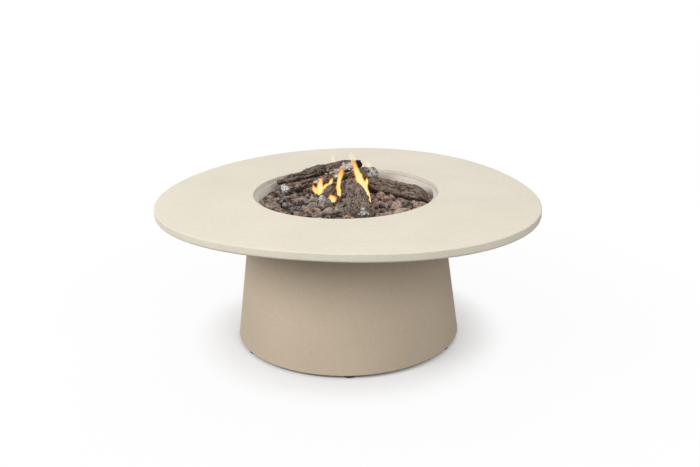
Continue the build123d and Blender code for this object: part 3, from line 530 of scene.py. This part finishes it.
def ease(value, low, high):
    """A smooth step for numbers or arrays."""
    part = np.clip((value - low) / (high - low), 0.0, 1.0)
    return part * part * (3.0 - 2.0 * part)


def crack_lines(points, width):
    """1 along the lines where smooth noise is zero, falling to 0 beside them."""
    level = np.array([noise.noise(Vector(p)) for p in points])
    return 1.0 - ease(np.abs(level), 0.0, width)


def gas_pits(points, scale):
    """1 in the pits round scattered points, falling to 0 at their rims."""
    apart = np.array([noise.voronoi(Vector(p) * scale)[0][0] for p in points])
    return 1.0 - ease(apart, 0.08, 0.46)


def layered_noise(points, scale, octaves):
    """Noise in layers, each finer than the last, on an array of points."""
    return np.array([noise.fractal(Vector(p) * scale, 1.0, 2.0, octaves) for p in points])


# Lava rocks. Pink and grey stones by their middles in millimetres: x, y and blush
blush_spots = [
    (123, 0, 1.0), (98, -98, 0.8), (165, 6, 0.7), (142, -27, 0.5), (203, 2, 0.15), (180, -30, 0.3),
    (137, -100, 0.1), (176, -101, 0.0), (245, -10, 0.0), (218, -39, 0.1), (119, -61, 0.0), (106, 35, 0.6),
    (158, -139, 0.1), (116, -134, 0.15), (193, -66, 0.1), (-16, -101, -0.55), (155, -64, -0.25),
    (-198, -8, -0.5), (-119, 2, -0.6), (-179, 35, -0.4), (-101, -172, -0.4), (-40, -1, -0.2), (255, 37, -0.7),
]
BLUSH_REACH = 8 * MM


# Stones on the right are pinker by these amounts, in full beyond the second place in x
right_warmth = {"grey": 0.45, "brown": 0.45, "red": -0.1}
WARM_SIDE = (60 * MM, 120 * MM)


# Stones carry painted shade below the second of these heights. A higher sharpness gives crisper edges
STONE_SHADE = (410 * MM, 431 * MM)
STONE_SHARPNESS = 40.0
BROKEN_FACES = 6


def separate_stones(node):
    """Point sets of the stones in one CAD node, in the order of their first points."""
    form = closed_form(node)
    seen, stones = set(), []
    for start in form.verts:
        if start.index in seen:
            continue
        seen.add(start.index)
        pile, stone = [start], []
        while pile:
            vert = pile.pop()
            stone.append(vert.co.copy())
            for edge in vert.link_edges:
                other = edge.other_vert(vert)
                if other.index not in seen:
                    seen.add(other.index)
                    pile.append(other)
        stones.append(stone)
    form.free()
    return stones


def hull_planes(points, middle):
    """Outward normals of a stone's hull and their distances from its middle."""
    form = bmesh.new()
    for point in points:
        form.verts.new(point)
    bmesh.ops.convex_hull(form, input=form.verts)
    form.normal_update()
    planes = {}
    for face in form.faces:
        normal = face.normal
        away = normal.dot(face.calc_center_median() - middle)
        if away < 0:
            normal, away = -normal, -away
        planes.setdefault(tuple(round(c, 1) for c in normal), (tuple(normal), away))
    form.free()
    normals, aways = zip(*planes.values())
    return np.array(normals), np.maximum(np.array(aways), 1.0 * MM)


def ball():
    """Even directions and faces of a round ball."""
    form = bmesh.new()
    bmesh.ops.create_icosphere(form, subdivisions=4, radius=1.0)
    return points_and_faces(form)


def broken_faces(stone, middle, chance):
    """Directions and distances of the flat faces broken off a stone."""
    ways, aways = [], []
    for face in range(BROKEN_FACES):
        way = Vector([chance.gauss(0.0, 1.0) for axis in range(3)]).normalized()
        ways.append(tuple(way))
        aways.append(max(way.dot(point - middle) for point in stone) * chance.uniform(0.52, 0.76))
    return np.array(ways), np.array(aways)


def stone_blush(middle, warmth, chance):
    """How pink a stone is, from -1 for grey to 1."""
    drift = chance.uniform(-0.25, 0.35) + warmth
    for x, y, blush in blush_spots:
        if hypot(middle.x - x * MM, middle.y - y * MM) < BLUSH_REACH:
            return blush
    return drift


def rock_heap(tone, forms, material):
    """All stones of one tone: broken hulls with lumps, creases and gas pits."""
    node = f"lava_rocks_{tone}"
    rays, ball_faces = ball()
    points, faces = [], []
    numbers = {"relief": [], "stone": [], "blush": []}
    chance = random.Random(tone)
    for stone in separate_stones(node):
        middle = sum(stone, Vector()) / len(stone)
        planes = zip(hull_planes(stone, middle), broken_faces(stone, middle, chance))
        normals, aways = (np.concatenate(rows) for rows in planes)
        facing = np.maximum(rays @ normals.T, 0.0) / aways
        reach = (facing ** STONE_SHARPNESS).sum(axis=1) ** (-1.0 / STONE_SHARPNESS)
        reach = reach * chance.uniform(1.18, 1.38)
        skin = np.array(middle) + rays * reach[:, None]
        shift = np.array([chance.uniform(-9.0, 9.0) for axis in range(3)])
        lump = layered_noise(skin + shift, 46.0, 4)
        knob = layered_noise(skin - shift, 150.0, 3)
        pit = gas_pits(skin + shift, 90.0) + 0.6 * gas_pits(skin - shift, 185.0)
        crease = crack_lines((skin + shift) * 62.0, 0.22)
        height = (forms.rock_lump * (0.30 + lump * 0.95 + knob * 0.50) - forms.rock_pit * pit
                  - forms.rock_crease * crease)
        skin = skin + rays * height[:, None]
        skin[:, 2] = np.maximum(skin[:, 2], min(point.z for point in stone))
        faces.append(np.array(ball_faces) + len(rays) * len(points))
        points.append(skin)
        # Painted shade: stones darken below their neighbours' tops, in creases and in gas pits, and lighten
        # on lumps as painted light
        depth = 0.38 + 0.62 * ease(skin[:, 2], *STONE_SHADE)
        relief = (0.72 + lump * 0.38 + knob * 0.30 - pit * 0.5 - crease * 0.30) * depth
        warm_side = float(ease(middle.x, *WARM_SIDE))
        numbers["relief"].append(np.clip(relief, 0.0, 1.0))
        numbers["stone"].append(np.full(len(rays), chance.random() + 0.45 * warm_side))
        blush = stone_blush(middle, right_warmth[tone] * warm_side, chance)
        numbers["blush"].append(np.full(len(rays), blush))
    add_piece(node + "_stones", np.concatenate(points), np.concatenate(faces).tolist(), material,
              f"{tone}_lava", [node],
              numbers={key: np.concatenate(values) for key, values in numbers.items()})


# Ceramic logs. Ash and char, some of it painted shade, lie round points in millimetres: x, y, z and radius.
# Fullness over the CAD form is at five places from the left or front end to the other. Furrows is a share of
# the bark depth. Tips says how full both ends are left, longer what both gain in millimetres, slant how the
# other end is cut
Log = collections.namedtuple("Log", "ash char fullness furrows tips longer soot slant", defaults=[None])
ceramic_logs = {
    "log_middle": Log(
        [(-200, 70, 446, 22), (-93, 80, 466, 7), (-82, 80, 469, 6), (-30, 92, 482, 9), (-20, 95, 484, 8)],
        [(-150, 84, 436, 16), (-70, 84, 442, 14), (4, 100, 464, 26)],
        (1.25, 1.32, 1.28, 1.18, 1.12), 1.0, (0.90, 1.0), (6.0, 0.0), -0.50),
    "log_back": Log(
        [(97, 178, 456, 24)], [(60, 200, 440, 20)],
        (1.15, 1.28, 1.42, 1.56, 1.70), 1.0, (1.0, 1.0), (0.0, 0.0), 0.10),
    "log_top": Log(
        [(17, 94, 514, 15), (2, 92, 509, 12), (-12, 90, 502, 9), (-28, 88, 496, 9), (-44, 86, 491, 8),
         (-60, 84, 487, 7)],
        [(48, 116, 512, 24), (-60, 92, 482, 22), (-10, 104, 492, 18), (34, 110, 498, 22)],
        (1.30, 1.42, 1.38, 1.48, 1.40), 1.0, (0.45, 0.50), (0.0, 2.0), 0.24),
    "log_front": Log(
        [(50, -182, 440, 10), (36, -182, 436, 7), (62, -176, 440, 6)], [(20, 70, 480, 12)],
        (1.28, 1.32, 1.36, 1.36, 0.62), 0.85, (1.0, 1.0), (12.0, 8.0), -0.10),
    "log_stub": Log(
        [(-80, -2, 432, 11), (-72, 8, 438, 8)], [(-30, 80, 450, 18)],
        (1.0, 1.0, 1.0, 1.0, 1.0), 0.8, (0.9, 1.0), (0.0, 0.0), 0.12),
    "log_right": Log(
        [], [(82, 100, 440, 30)],
        (1.45, 1.45, 1.45, 1.48, 1.50), 0.9, (1.0, 0.85), (0.0, 6.0), 0.10, (0.0, -0.5, -0.8)),
}


# Distance between the cracks across the bark, and turns of smoothing on a log
CRACK_PITCH = 12.0 * MM
SMOOTH_TURNS = 4


def spot_cover(points, spots):
    """How far each point lies inside any of the ragged spots, from 0 to 1."""
    cover = np.zeros(len(points))
    ragged = 1.0 + 0.55 * layered_noise(points, 85.0, 3)
    for x, y, z, radius in spots:
        apart = np.linalg.norm(points - np.array((x, y, z)) * MM, axis=1) * ragged
        cover = np.maximum(cover, ease(apart, 1.25 * radius * MM, 0.55 * radius * MM))
    return cover


def even_form(node, step):
    """Normals, points and faces of a CAD node's surface in small even faces, with its edges softened."""
    form = closed_form(node)
    mesh = bpy.data.meshes.new(node + "_form")
    form.to_mesh(mesh)
    form.free()
    holder = add_object(node + "_form", mesh)
    remesh = holder.modifiers.new("even", "REMESH")
    remesh.mode = "VOXEL"
    remesh.voxel_size = step
    graph = bpy.context.evaluated_depsgraph_get()
    even = bpy.data.meshes.new_from_object(holder.evaluated_get(graph))
    bpy.data.objects.remove(holder)
    form = bmesh.new()
    form.from_mesh(even)
    for turn in range(SMOOTH_TURNS):
        bmesh.ops.smooth_vert(form, verts=form.verts, factor=0.5, use_axis_x=True, use_axis_y=True,
                              use_axis_z=True)
    form.normal_update()
    normals = np.array([vert.normal for vert in form.verts])
    return normals, *points_and_faces(form)


def bark_log(node, forms, material):
    """One log: its CAD form with furrowed bark, rough ends, ash, char and painted shade on its underside."""
    log = ceramic_logs[node]
    normals, points, faces = even_form(node, forms.log_step)
    middle = points.mean(axis=0)
    spread = np.linalg.eigh(np.cov((points - middle).T))[1]
    along = spread[:, 2] * np.sign(spread[:, 2] @ (1.0, 0.4, 0.0))
    run = (points - middle) @ along
    flat = points - middle - run[:, None] * along
    part = (run - run.min()) / (run.max() - run.min())
    first, last = log.tips
    more_first, more_last = log.longer
    fullness = np.interp(part, (0.0, 0.25, 0.5, 0.75, 1.0), log.fullness)
    fullness *= 1.0 - (1.0 - first) * ease(part, 0.20, 0.0) - (1.0 - last) * ease(part, 0.80, 1.0)
    grown = flat * fullness[:, None]
    longer = (more_last * ease(part, 0.70, 1.0) - more_first * ease(part, 0.30, 0.0)) * MM
    if log.slant:
        longer = longer + ease(part, 0.65, 1.0) * (grown @ np.array(log.slant))
    points = middle + grown + (run + longer)[:, None] * along
    wander = layered_noise(points, 45.0, 2)[:, None]
    furrow_place = flat / forms.bark_pitch + (run / forms.bark_run)[:, None] * along + wander * 0.5
    furrow = crack_lines(furrow_place, 0.30) * log.furrows
    small = crack_lines(furrow_place * 1.8 + 17.0, 0.42) * log.furrows
    crack = crack_lines(points / CRACK_PITCH + 31.0, 0.16) * 0.6
    lump = layered_noise(points, 30.0, 3)
    fine = layered_noise(points, 240.0, 3)
    away = np.abs(run)
    end = ease(np.abs(normals @ along), 0.72, 0.93) * ease(away, 0.80 * away.max(), 0.90 * away.max())
    bark = 1.0 - np.maximum(furrow, crack)
    height = (bark - 0.70 - small * 0.32) * (1.0 - end) + lump * 2.1 + fine * 0.45 - end * 0.2
    skin = points + normals * (forms.bark_depth * height)[:, None]
    # Painted shade in the furrows and painted light on the ridges, with some random tone
    relief = (bark - small * 0.35) * (1.0 - end * 0.4) * 0.75 + 0.16 + lump * 0.12 + fine * 0.30
    ash = spot_cover(points, log.ash)
    # Painted shade: the undersides of the logs are darkened as char
    under = ease(-normals[:, 2], -0.05, 0.60) * 1.1
    char = np.maximum(spot_cover(points, log.char) * 0.95, under) + log.soot
    char = np.clip(char + (fine + lump) * 0.12, 0.0, 0.98)
    add_piece(node + "_bark", skin, faces, material, "charred_log", [node],
              numbers={"relief": np.clip(relief, 0.0, 1.0), "ash": ash, "char": char})


# Flames: the middle line of each tongue in millimetres, its half widths, and how faint it is
flame_tongues = {
    "flame_left": [
        ([(-81, 50, 416), (-86, 50, 434), (-93, 50, 444), (-99, 50, 455), (-104, 50, 472)],
         (2.5, 6.0, 7.5, 5.5, 0.6), 0.0),
        ([(-82, 50, 414), (-80, 50, 445), (-79, 50, 461), (-76, 50, 477), (-73, 50, 492)],
         (3.0, 9.5, 8.5, 5.5, 0.6), 0.0),
        ([(-68, 56, 446), (-66, 57, 452), (-62, 58, 459), (-58, 59, 468)], (1.5, 5.0, 4.0, 0.5), 0.25),
        ([(-49, 61, 460), (-47, 61, 466), (-43, 62, 473), (-37, 62, 483)], (1.5, 5.5, 4.6, 0.6), 0.05),
        ([(-76, 53, 442), (-62, 57, 456), (-50, 60, 464), (-42, 62, 472)], (1.0, 2.4, 2.4, 0.5), 0.48),
    ],
    "flame_blob": [
        ([(-40, -22, 422), (-41, -22, 431), (-44, -22, 442), (-48, -22, 456)], (4.0, 9.5, 10.0, 1.5), 0.0),
    ],
    "flame_middle": [
        ([(-23, 35, 410), (-21, 35, 438), (-22, 35, 462), (-18, 37, 486), (-11, 39, 508), (0, 40, 530)],
         (3.0, 6.2, 6.2, 6.8, 7.6, 2.4), 0.0),
    ],
    "flame_right": [
        ([(77, -31, 421), (67, -22, 449), (57, -6, 467), (46, 16, 485), (37, 40, 500), (31, 62, 514),
          (26, 80, 528), (21, 96, 541)], (1.5, 6.0, 10.5, 10.5, 8.5, 7.5, 6.5, 3.0), 0.0),
        ([(31, 62, 513), (26, 80, 528), (20, 99, 541), (12, 122, 549)], (2.0, 6.5, 7.0, 1.2), 0.64),
        ([(58, -10, 462), (62, -6, 478), (65, -4, 489), (64, -2, 500)], (2.0, 5.0, 4.2, 0.6), 0.15),
    ],
    "flame_wisp_left": [
        ([(-36, 102, 505), (-38, 101, 524), (-39, 100, 537), (-41, 100, 549)], (2.0, 6.0, 5.0, 0.6), 0.7),
    ],
    "flame_wisp_right": [
        ([(82, 152, 474), (77, 151, 492), (72, 150, 504), (65, 150, 520)], (2.0, 5.0, 4.0, 0.6), 0.7),
    ],
}


def smooth_line(values, amount):
    """A point on a smooth line through rows of numbers, at a share of its length."""
    rows = np.array(values, float).reshape(len(values), -1)
    last = len(rows) - 1
    spot = min(amount * last, last - 1e-6)
    i = int(spot)
    t = spot - i
    a, b, c, d = rows[max(i - 1, 0)], rows[i], rows[i + 1], rows[min(i + 2, last)]
    return 0.5 * (2 * b + (c - a) * t + (2 * a - 5 * b + 4 * c - d) * t ** 2
                  + (3 * b - a - 3 * c + d) * t ** 3)


# Rings along a tongue and points round each, swell over its half widths, least half width in millimetres,
# ripple of its skin, and the shares of it before its tip and in its hot core
STATIONS, SIDES = 28, 14
SWELL, LEAST_WIDTH, RIPPLE = 1.12, 0.3, 0.42
TIP_START, CORE_END = 0.8, 0.86


def flame_shell(line, widths, fullness, top, depth, seed):
    """Closed skin of one tongue: rings along its middle line, with a pointed foot and tip."""
    points, rise = [], []
    for station in range(STATIONS + 1):
        part = station / STATIONS * top
        middle = Vector(smooth_line(line, part))
        ahead = smooth_line(line, min(part + 0.02, 1.0)) - smooth_line(line, max(part - 0.02, 0.0))
        ahead = Vector(ahead).normalized()
        side = ahead.cross(Vector((0.0, 1.0, 0.0))).normalized()
        back = side.cross(ahead)
        width = max(float(smooth_line(widths, part)[0]), LEAST_WIDTH) * SWELL * fullness
        width *= sin(0.5 * pi * min(1.0, station / STATIONS * 5.0 + 0.06))
        if station > TIP_START * STATIONS:
            width *= max(0.04, (STATIONS - station) / (0.2 * STATIONS)) ** 0.7
        for i in range(SIDES):
            turn = 2.0 * pi * i / SIDES
            spread = side * cos(turn) + back * sin(turn) * depth
            wave = noise.noise(middle * 0.075 + spread * 0.9 + Vector((seed, 0, 0)))
            points.append((middle + spread * width * (1.0 + RIPPLE * wave)) * MM)
            rise.append(part)
    return points, tube_faces(STATIONS, SIDES), rise


def flame(name, tongues, forms, material):
    """One flame: each tongue has an outer skin and a hot core."""
    points, faces, numbers = [], [], {"core": [], "rise": [], "faint": []}
    for seed, (line, widths, faint) in enumerate(tongues):
        shells = [(0.0, 1.0, 1.0)]
        if faint < 0.5:
            shells.append((1.0, forms.flame_core, CORE_END))
        for core, fullness, top in shells:
            skin, skin_faces, rise = flame_shell(line, widths, fullness, top, forms.flame_depth, seed * 7.3)
            faces += [[len(points) + i for i in face] for face in skin_faces]
            points += skin
            numbers["core"] += [core] * len(skin)
            numbers["rise"] += rise
            numbers["faint"] += [faint] * len(skin)
    piece = add_piece(name, points, faces, material, numbers=numbers)
    piece.visible_shadow = False


# Metals: finish, nodes, roughness, way of the tool marks, their scale and depth, and dullness
metals = [
    ("brushed_sheet", ("control_panel", "pilot_bracket", "burner_ring"),
     0.30, (0.02, 1.0, 1.0), 900.0, 0.04 * MM, 0.12),
    ("zinc_plate", ("burner_nut", "air_shutter", "panel_screws", "valve_nut", "pilot_screws",
                    *[f"foot_stud_{k}" for k in FEET]), 0.34, EVEN, 300.0),
    ("spring_steel", ("valve_spindle", "electrode_rod", "thermocouple"), 0.26, EVEN, 700.0),
    ("turned_brass", ("foot_inserts", "air_mixer", "gas_jet", "valve_plunger", "gas_inlet", "gas_inlet_nut"),
     0.28, (1.0, 0.05, 1.0), 1400.0, 0.01 * MM, 0.2),
    ("drawn_copper", ("inlet_tube", "thermocouple_lead"), 0.25, (1.0, 1.0, 0.1), 900.0),
    ("cast_alloy", ("gas_valve",), 0.48, EVEN, 420.0, 0.15 * MM),
]


# Plastic, rubber and glaze: finish, nodes, roughness, scale and depth of the grain, and clear coat
mouldings = [
    ("black_plastic", ("control_knob", "igniter_body", "igniter_nut"), 0.46, 1500.0, 0.08 * MM),
    ("red_plastic", ("igniter_button",), 0.25, 1200.0, 0.03 * MM, 0.3),
    ("black_rubber", ("panel_gasket", "igniter_lead"), 0.72, 1000.0, 0.08 * MM),
    ("pale_rubber", ("top_seat_pads",), 0.5, 900.0, 0.05 * MM),
    ("battery_jacket", ("igniter_battery",), 0.3, 800.0, 0.03 * MM, 0.4),
    ("white_ceramic", ("spark_electrode",), 0.18, 700.0, 0.03 * MM, 0.5),
]


# Springs: node, joint that presses it, and turns of its wire, which has play at both ends
springs = [("valve_spring", "knob_push", 5), ("igniter_spring", "igniter_press", 3)]
TURN_STEPS, WIRE_SIDES, PLAY = 36, 10, 0.04 * MM


# Painted line: depth of its middle below the knob's face, its thickness and its rounded edge
PAINT_DEPTH, PAINT, PAINT_EDGE = 0.55 * MM, 0.5 * MM, 0.12 * MM


# Studio, in metres: distances from the middle over which the floor turns white, half of the floor's width,
# width and place of each lamp, and the point that the lamps face
BASE_RING, SHADOW_RING, OPEN_RING = (0.332, 0.356), (0.33, 0.52), (0.5, 1.6)
FLOOR_HALF = 40.0
lamps = {"key": (1.6, (-2.7, -1.5, 2.0)), "fill": (1.6, (1.2, -2.7, 1.8)), "back": (1.6, (0.6, 2.6, 2.1)),
         "top": (3.0, (0.1, 0.5, 3.2))}
LAMP_AIM = (0.0, 0.0, 0.3)


# Operators, one for each piece or group of like pieces
class FIREPIT_OT_concrete(bpy.types.Operator):
    """Give the top and the base their cast concrete, the base's made darker in part as painted shade"""
    bl_idname = "fire_pit.concrete"
    bl_label = "Concrete"

    def execute(self, context):
        colours = context.scene.fire_pit_finishes
        dress(sand_concrete("sand_concrete_top", colours.concrete_top), "table_top")
        # The base's darker concrete is in part painted shade under the top's overhang
        dress(sand_concrete("sand_concrete_base", colours.concrete_base), "base_shell")
        return {"FINISHED"}


class FIREPIT_OT_metalwork(bpy.types.Operator):
    """Finish the pan, the burner, the gas fittings and the fasteners"""
    bl_idname = "fire_pit.metalwork"
    bl_label = "Metalwork"

    def execute(self, context):
        colours = context.scene.fire_pit_finishes
        dress(satin_pan("satin_pan", colours.pan_steel), "burner_pan")
        for name, nodes, *look in metals:
            dress(worked_metal(name, getattr(colours, name), *look), *nodes)
        dress(corrugated_steel("corrugated_steel", colours.brushed_sheet), "burner_hose")
        return {"FINISHED"}


class FIREPIT_OT_controls(bpy.types.Operator):
    """Finish the knob, the igniter and the soft and ceramic pieces"""
    bl_idname = "fire_pit.controls"
    bl_label = "Controls"

    def execute(self, context):
        colours = context.scene.fire_pit_finishes
        for name, nodes, *look in mouldings:
            dress(moulded(name, getattr(colours, name), *look), *nodes)
        return {"FINISHED"}


class FIREPIT_OT_springs(bpy.types.Operator):
    """Wind the valve's and the igniter's springs"""
    bl_idname = "fire_pit.springs"
    bl_label = "Springs"

    def execute(self, context):
        wire = context.scene.fire_pit_forms.spring_wire
        tint = context.scene.fire_pit_finishes.spring_steel
        material = worked_metal("spring_wire", tint, 0.26, EVEN, 700.0)
        for node, press, turns in springs:
            joint, out, up, side = joint_axes(press, -1.0)
            places = np.array([vert.co for vert in frame["nodes"][node].data.vertices])
            spans = [places @ np.array(axis) for axis in (side, up, out)]
            low = [span.min() for span in spans]
            high = [span.max() for span in spans]
            foot = side * (low[0] + high[0]) / 2 + up * (low[1] + high[1]) / 2 + out * low[2]
            tall = high[2] - low[2]
            radius = (high[0] - low[0]) / 2 - wire
            points = [foot + side * x + up * y + out * z for x, y, z in self.wind(radius, wire, turns, tall)]
            faces = tube_faces(turns * TURN_STEPS, WIRE_SIDES)
            piece = add_piece(node + "_coil", points, faces, material, "spring_steel", [node])
            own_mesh(piece)
        return {"FINISHED"}

    @staticmethod
    def wind(radius, wire, turns, tall):
        """Points of a round wire wound about Z, from 0 up to its height."""
        steps = turns * TURN_STEPS
        points = []
        for step in range(steps + 1):
            turn = 2.0 * pi * turns * step / steps
            middle = wire + PLAY + (tall - 2.0 * (wire + PLAY)) * step / steps
            for i in range(WIRE_SIDES):
                around = 2.0 * pi * i / WIRE_SIDES
                out = radius + wire * cos(around)
                points.append((out * cos(turn), out * sin(turn), middle + wire * sin(around)))
        return points


class FIREPIT_OT_knob_mark(bpy.types.Operator):
    """Paint the line in the groove on the front of the knob"""
    bl_idname = "fire_pit.knob_mark"
    bl_label = "Knob mark"

    def execute(self, context):
        forms = context.scene.fire_pit_forms
        joint, out, up, side = joint_axes("knob_turn")
        centre = Vector(joint["pos_m"])
        face = max((vert.co - centre).dot(out) for vert in frame["nodes"]["control_knob"].data.vertices)
        paint = bmesh.new()
        bmesh.ops.create_cube(paint, size=1.0)
        reach = forms.mark_end - forms.mark_start
        for vert in paint.verts:
            x, y, z = vert.co
            vert.co = (centre + side * (x * forms.mark_width) + up * (forms.mark_start + (y + 0.5) * reach)
                       + out * (face - PAINT_DEPTH + z * PAINT))
        bmesh.ops.bevel(paint, geom=paint.edges, offset=PAINT_EDGE, segments=2, affect="EDGES")
        material = moulded("mark_paint", context.scene.fire_pit_finishes.mark_paint, 0.5, 900.0, 0.03 * MM)
        add_piece("knob_mark", *points_and_faces(paint), material, body="control_knob")
        return {"FINISHED"}


class FIREPIT_OT_feet(bpy.types.Operator):
    """Finish the pads of the levelling feet"""
    bl_idname = "fire_pit.feet"
    bl_label = "Feet"

    def execute(self, context):
        tint = context.scene.fire_pit_finishes.black_plastic
        dress(moulded("foot_plastic", tint, 0.55, 1100.0, 0.1 * MM), *[f"foot_pad_{k}" for k in FEET])
        return {"FINISHED"}


class FIREPIT_OT_lava_rocks(bpy.types.Operator):
    """Build the lava rocks in their three tones"""
    bl_idname = "fire_pit.lava_rocks"
    bl_label = "Lava rocks"

    def execute(self, context):
        colours = context.scene.fire_pit_finishes
        forms = context.scene.fire_pit_forms
        for tone in right_warmth:
            rock_heap(tone, forms, porous_lava(f"{tone}_lava", getattr(colours, f"lava_{tone}")))
        return {"FINISHED"}


class FIREPIT_OT_ceramic_logs(bpy.types.Operator):
    """Build the six ceramic logs"""
    bl_idname = "fire_pit.ceramic_logs"
    bl_label = "Ceramic logs"

    def execute(self, context):
        material = charred_bark("charred_bark", context.scene.fire_pit_finishes)
        for node in ceramic_logs:
            bark_log(node, context.scene.fire_pit_forms, material)
        return {"FINISHED"}


class FIREPIT_OT_flames(bpy.types.Operator):
    """Build the flames between the logs"""
    bl_idname = "fire_pit.flames"
    bl_label = "Flames"

    def execute(self, context):
        material = burning_gas("burning_gas", context.scene.fire_pit_finishes)
        for name, tongues in flame_tongues.items():
            flame(name, tongues, context.scene.fire_pit_forms, material)
        return {"FINISHED"}


class FIREPIT_OT_stage(bpy.types.Operator):
    """Add the floor, the lamps and the camera"""
    bl_idname = "fire_pit.stage"
    bl_label = "Stage"

    def execute(self, context):
        plan = context.scene.fire_pit_stage
        context.scene.view_settings.view_transform = "Standard"
        self.add_floor(plan, context.scene.fire_pit_finishes.floor)
        self.add_sky(context.scene, plan)
        self.add_lamps(plan)
        self.add_camera(context.scene, plan)
        return {"FINISHED"}

    @staticmethod
    def seen(finish):
        """1 for the rays that show a background: from the camera, off metal and through glass."""
        path = finish.node("LightPath", result="Is Camera Ray")
        rays = path.socket.node.outputs
        straight = finish.math("MAXIMUM", path, Value(finish, rays["Is Glossy Ray"]))
        return finish.math("MAXIMUM", straight, Value(finish, rays["Is Transmission Ray"]))

    def add_floor(self, plan, tint):
        finish = Finish("studio_floor")
        dim = finish.node("BsdfDiffuse", None, {"Color": shade(tint, 0.24)})
        matt = finish.node("BsdfDiffuse", None, {"Color": shade(tint)})
        white = finish.node("Emission", None, {"Color": WHITE, "Strength": 1.0})
        x, y = finish.axes(finish.place())[:2]
        out = (x * x + y * y) ** 0.5
        cover = (finish.step(out, *BASE_RING) * plan.shadow_white
                 + finish.step(out, *SHADOW_RING) * (plan.floor_white - plan.shadow_white)
                 + finish.step(out, *OPEN_RING) * (1.0 - plan.floor_white))
        shown = finish.node("MixShader", None, {0: cover, 1: matt, 2: white})
        finish.show(finish.node("MixShader", None, {0: self.seen(finish), 1: dim, 2: shown}))
        mesh = bpy.data.meshes.new("studio_floor")
        corners = [(-1, -1), (1, -1), (1, 1), (-1, 1)]
        mesh.from_pydata([(i * FLOOR_HALF, j * FLOOR_HALF, 0) for i, j in corners], [], [(0, 1, 2, 3)])
        mesh.materials.append(finish.material)
        add_object("studio_floor", mesh)

    def add_sky(self, scene, plan):
        world = bpy.data.worlds.new("studio_sky")
        sky = Finish("studio_sky", world)
        light = sky.node("Background", None, {"Color": WHITE, "Strength": plan.sky})
        white = sky.node("Background", None, {"Color": WHITE, "Strength": 1.0})
        both = sky.node("MixShader", None, {0: self.seen(sky), 1: light, 2: white})
        sky.node("OutputWorld", None, {"Surface": both})
        scene.world = world

    def add_lamps(self, plan):
        for name, (size, place) in lamps.items():
            lamp = bpy.data.lights.new(f"{name}_lamp", "AREA")
            lamp.shape = "DISK"
            lamp.size = size
            lamp.energy = getattr(plan, f"{name}_power")
            holder = add_object(f"{name}_lamp", lamp)
            holder.location = place
            holder.rotation_mode = "QUATERNION"
            holder.rotation_quaternion = (Vector(LAMP_AIM) - holder.location).to_track_quat("-Z", "Y")

    def add_camera(self, scene, plan):
        pitch, aim, roll = plan.pitch, plan.aim, plan.roll
        ahead = Vector((sin(aim), cos(aim) * cos(pitch), -cos(aim) * sin(pitch)))
        level = Vector((cos(aim), -sin(aim) * cos(pitch), sin(aim) * sin(pitch)))
        above = Vector((0.0, sin(pitch), cos(pitch)))
        right = cos(roll) * level - sin(roll) * above
        up = sin(roll) * level + cos(roll) * above
        view = bpy.data.cameras.new("photo_camera")
        view.sensor_width = SENSOR
        view.lens = plan.lens
        camera = add_object("photo_camera", view)
        turn = Matrix((right, up, -ahead)).transposed().to_4x4()
        camera.matrix_world = Matrix.Translation((0.0, -plan.camera_back, plan.camera_height)) @ turn
        scene.camera = camera


class FIREPIT_PT_table(bpy.types.Panel):
    """Fire pit table"""
    bl_idname = "FIREPIT_PT_table"
    bl_label = "Fire pit table"
    bl_space_type = "VIEW_3D"
    bl_region_type = "UI"
    bl_category = "Fire pit"

    def draw(self, context):
        for operator in operators:
            self.layout.operator(operator.bl_idname)
        for owner, group in groups.items():
            box = self.layout.box()
            for name in group.__annotations__:
                box.prop(getattr(context.scene, owner), name)


operators = (FIREPIT_OT_stage, FIREPIT_OT_concrete, FIREPIT_OT_metalwork, FIREPIT_OT_controls,
             FIREPIT_OT_springs, FIREPIT_OT_knob_mark, FIREPIT_OT_feet, FIREPIT_OT_lava_rocks,
             FIREPIT_OT_ceramic_logs, FIREPIT_OT_flames)
groups = {"fire_pit_finishes": FirePitFinishes, "fire_pit_forms": FirePitForms,
          "fire_pit_stage": FirePitStage}


def register():
    for made in (*groups.values(), *operators, FIREPIT_PT_table):
        bpy.utils.register_class(made)
    for name, group in groups.items():
        setattr(bpy.types.Scene, name, bpy.props.PointerProperty(type=group))


def unregister():
    for name in groups:
        delattr(bpy.types.Scene, name)
    for made in (FIREPIT_PT_table, *reversed(operators), *groups.values()):
        bpy.utils.unregister_class(made)


def main():
    register()
    for operator in operators:
        name = operator.bl_idname.removeprefix("fire_pit.")
        getattr(bpy.ops.fire_pit, name)()


if __name__ == "__main__":
    main()
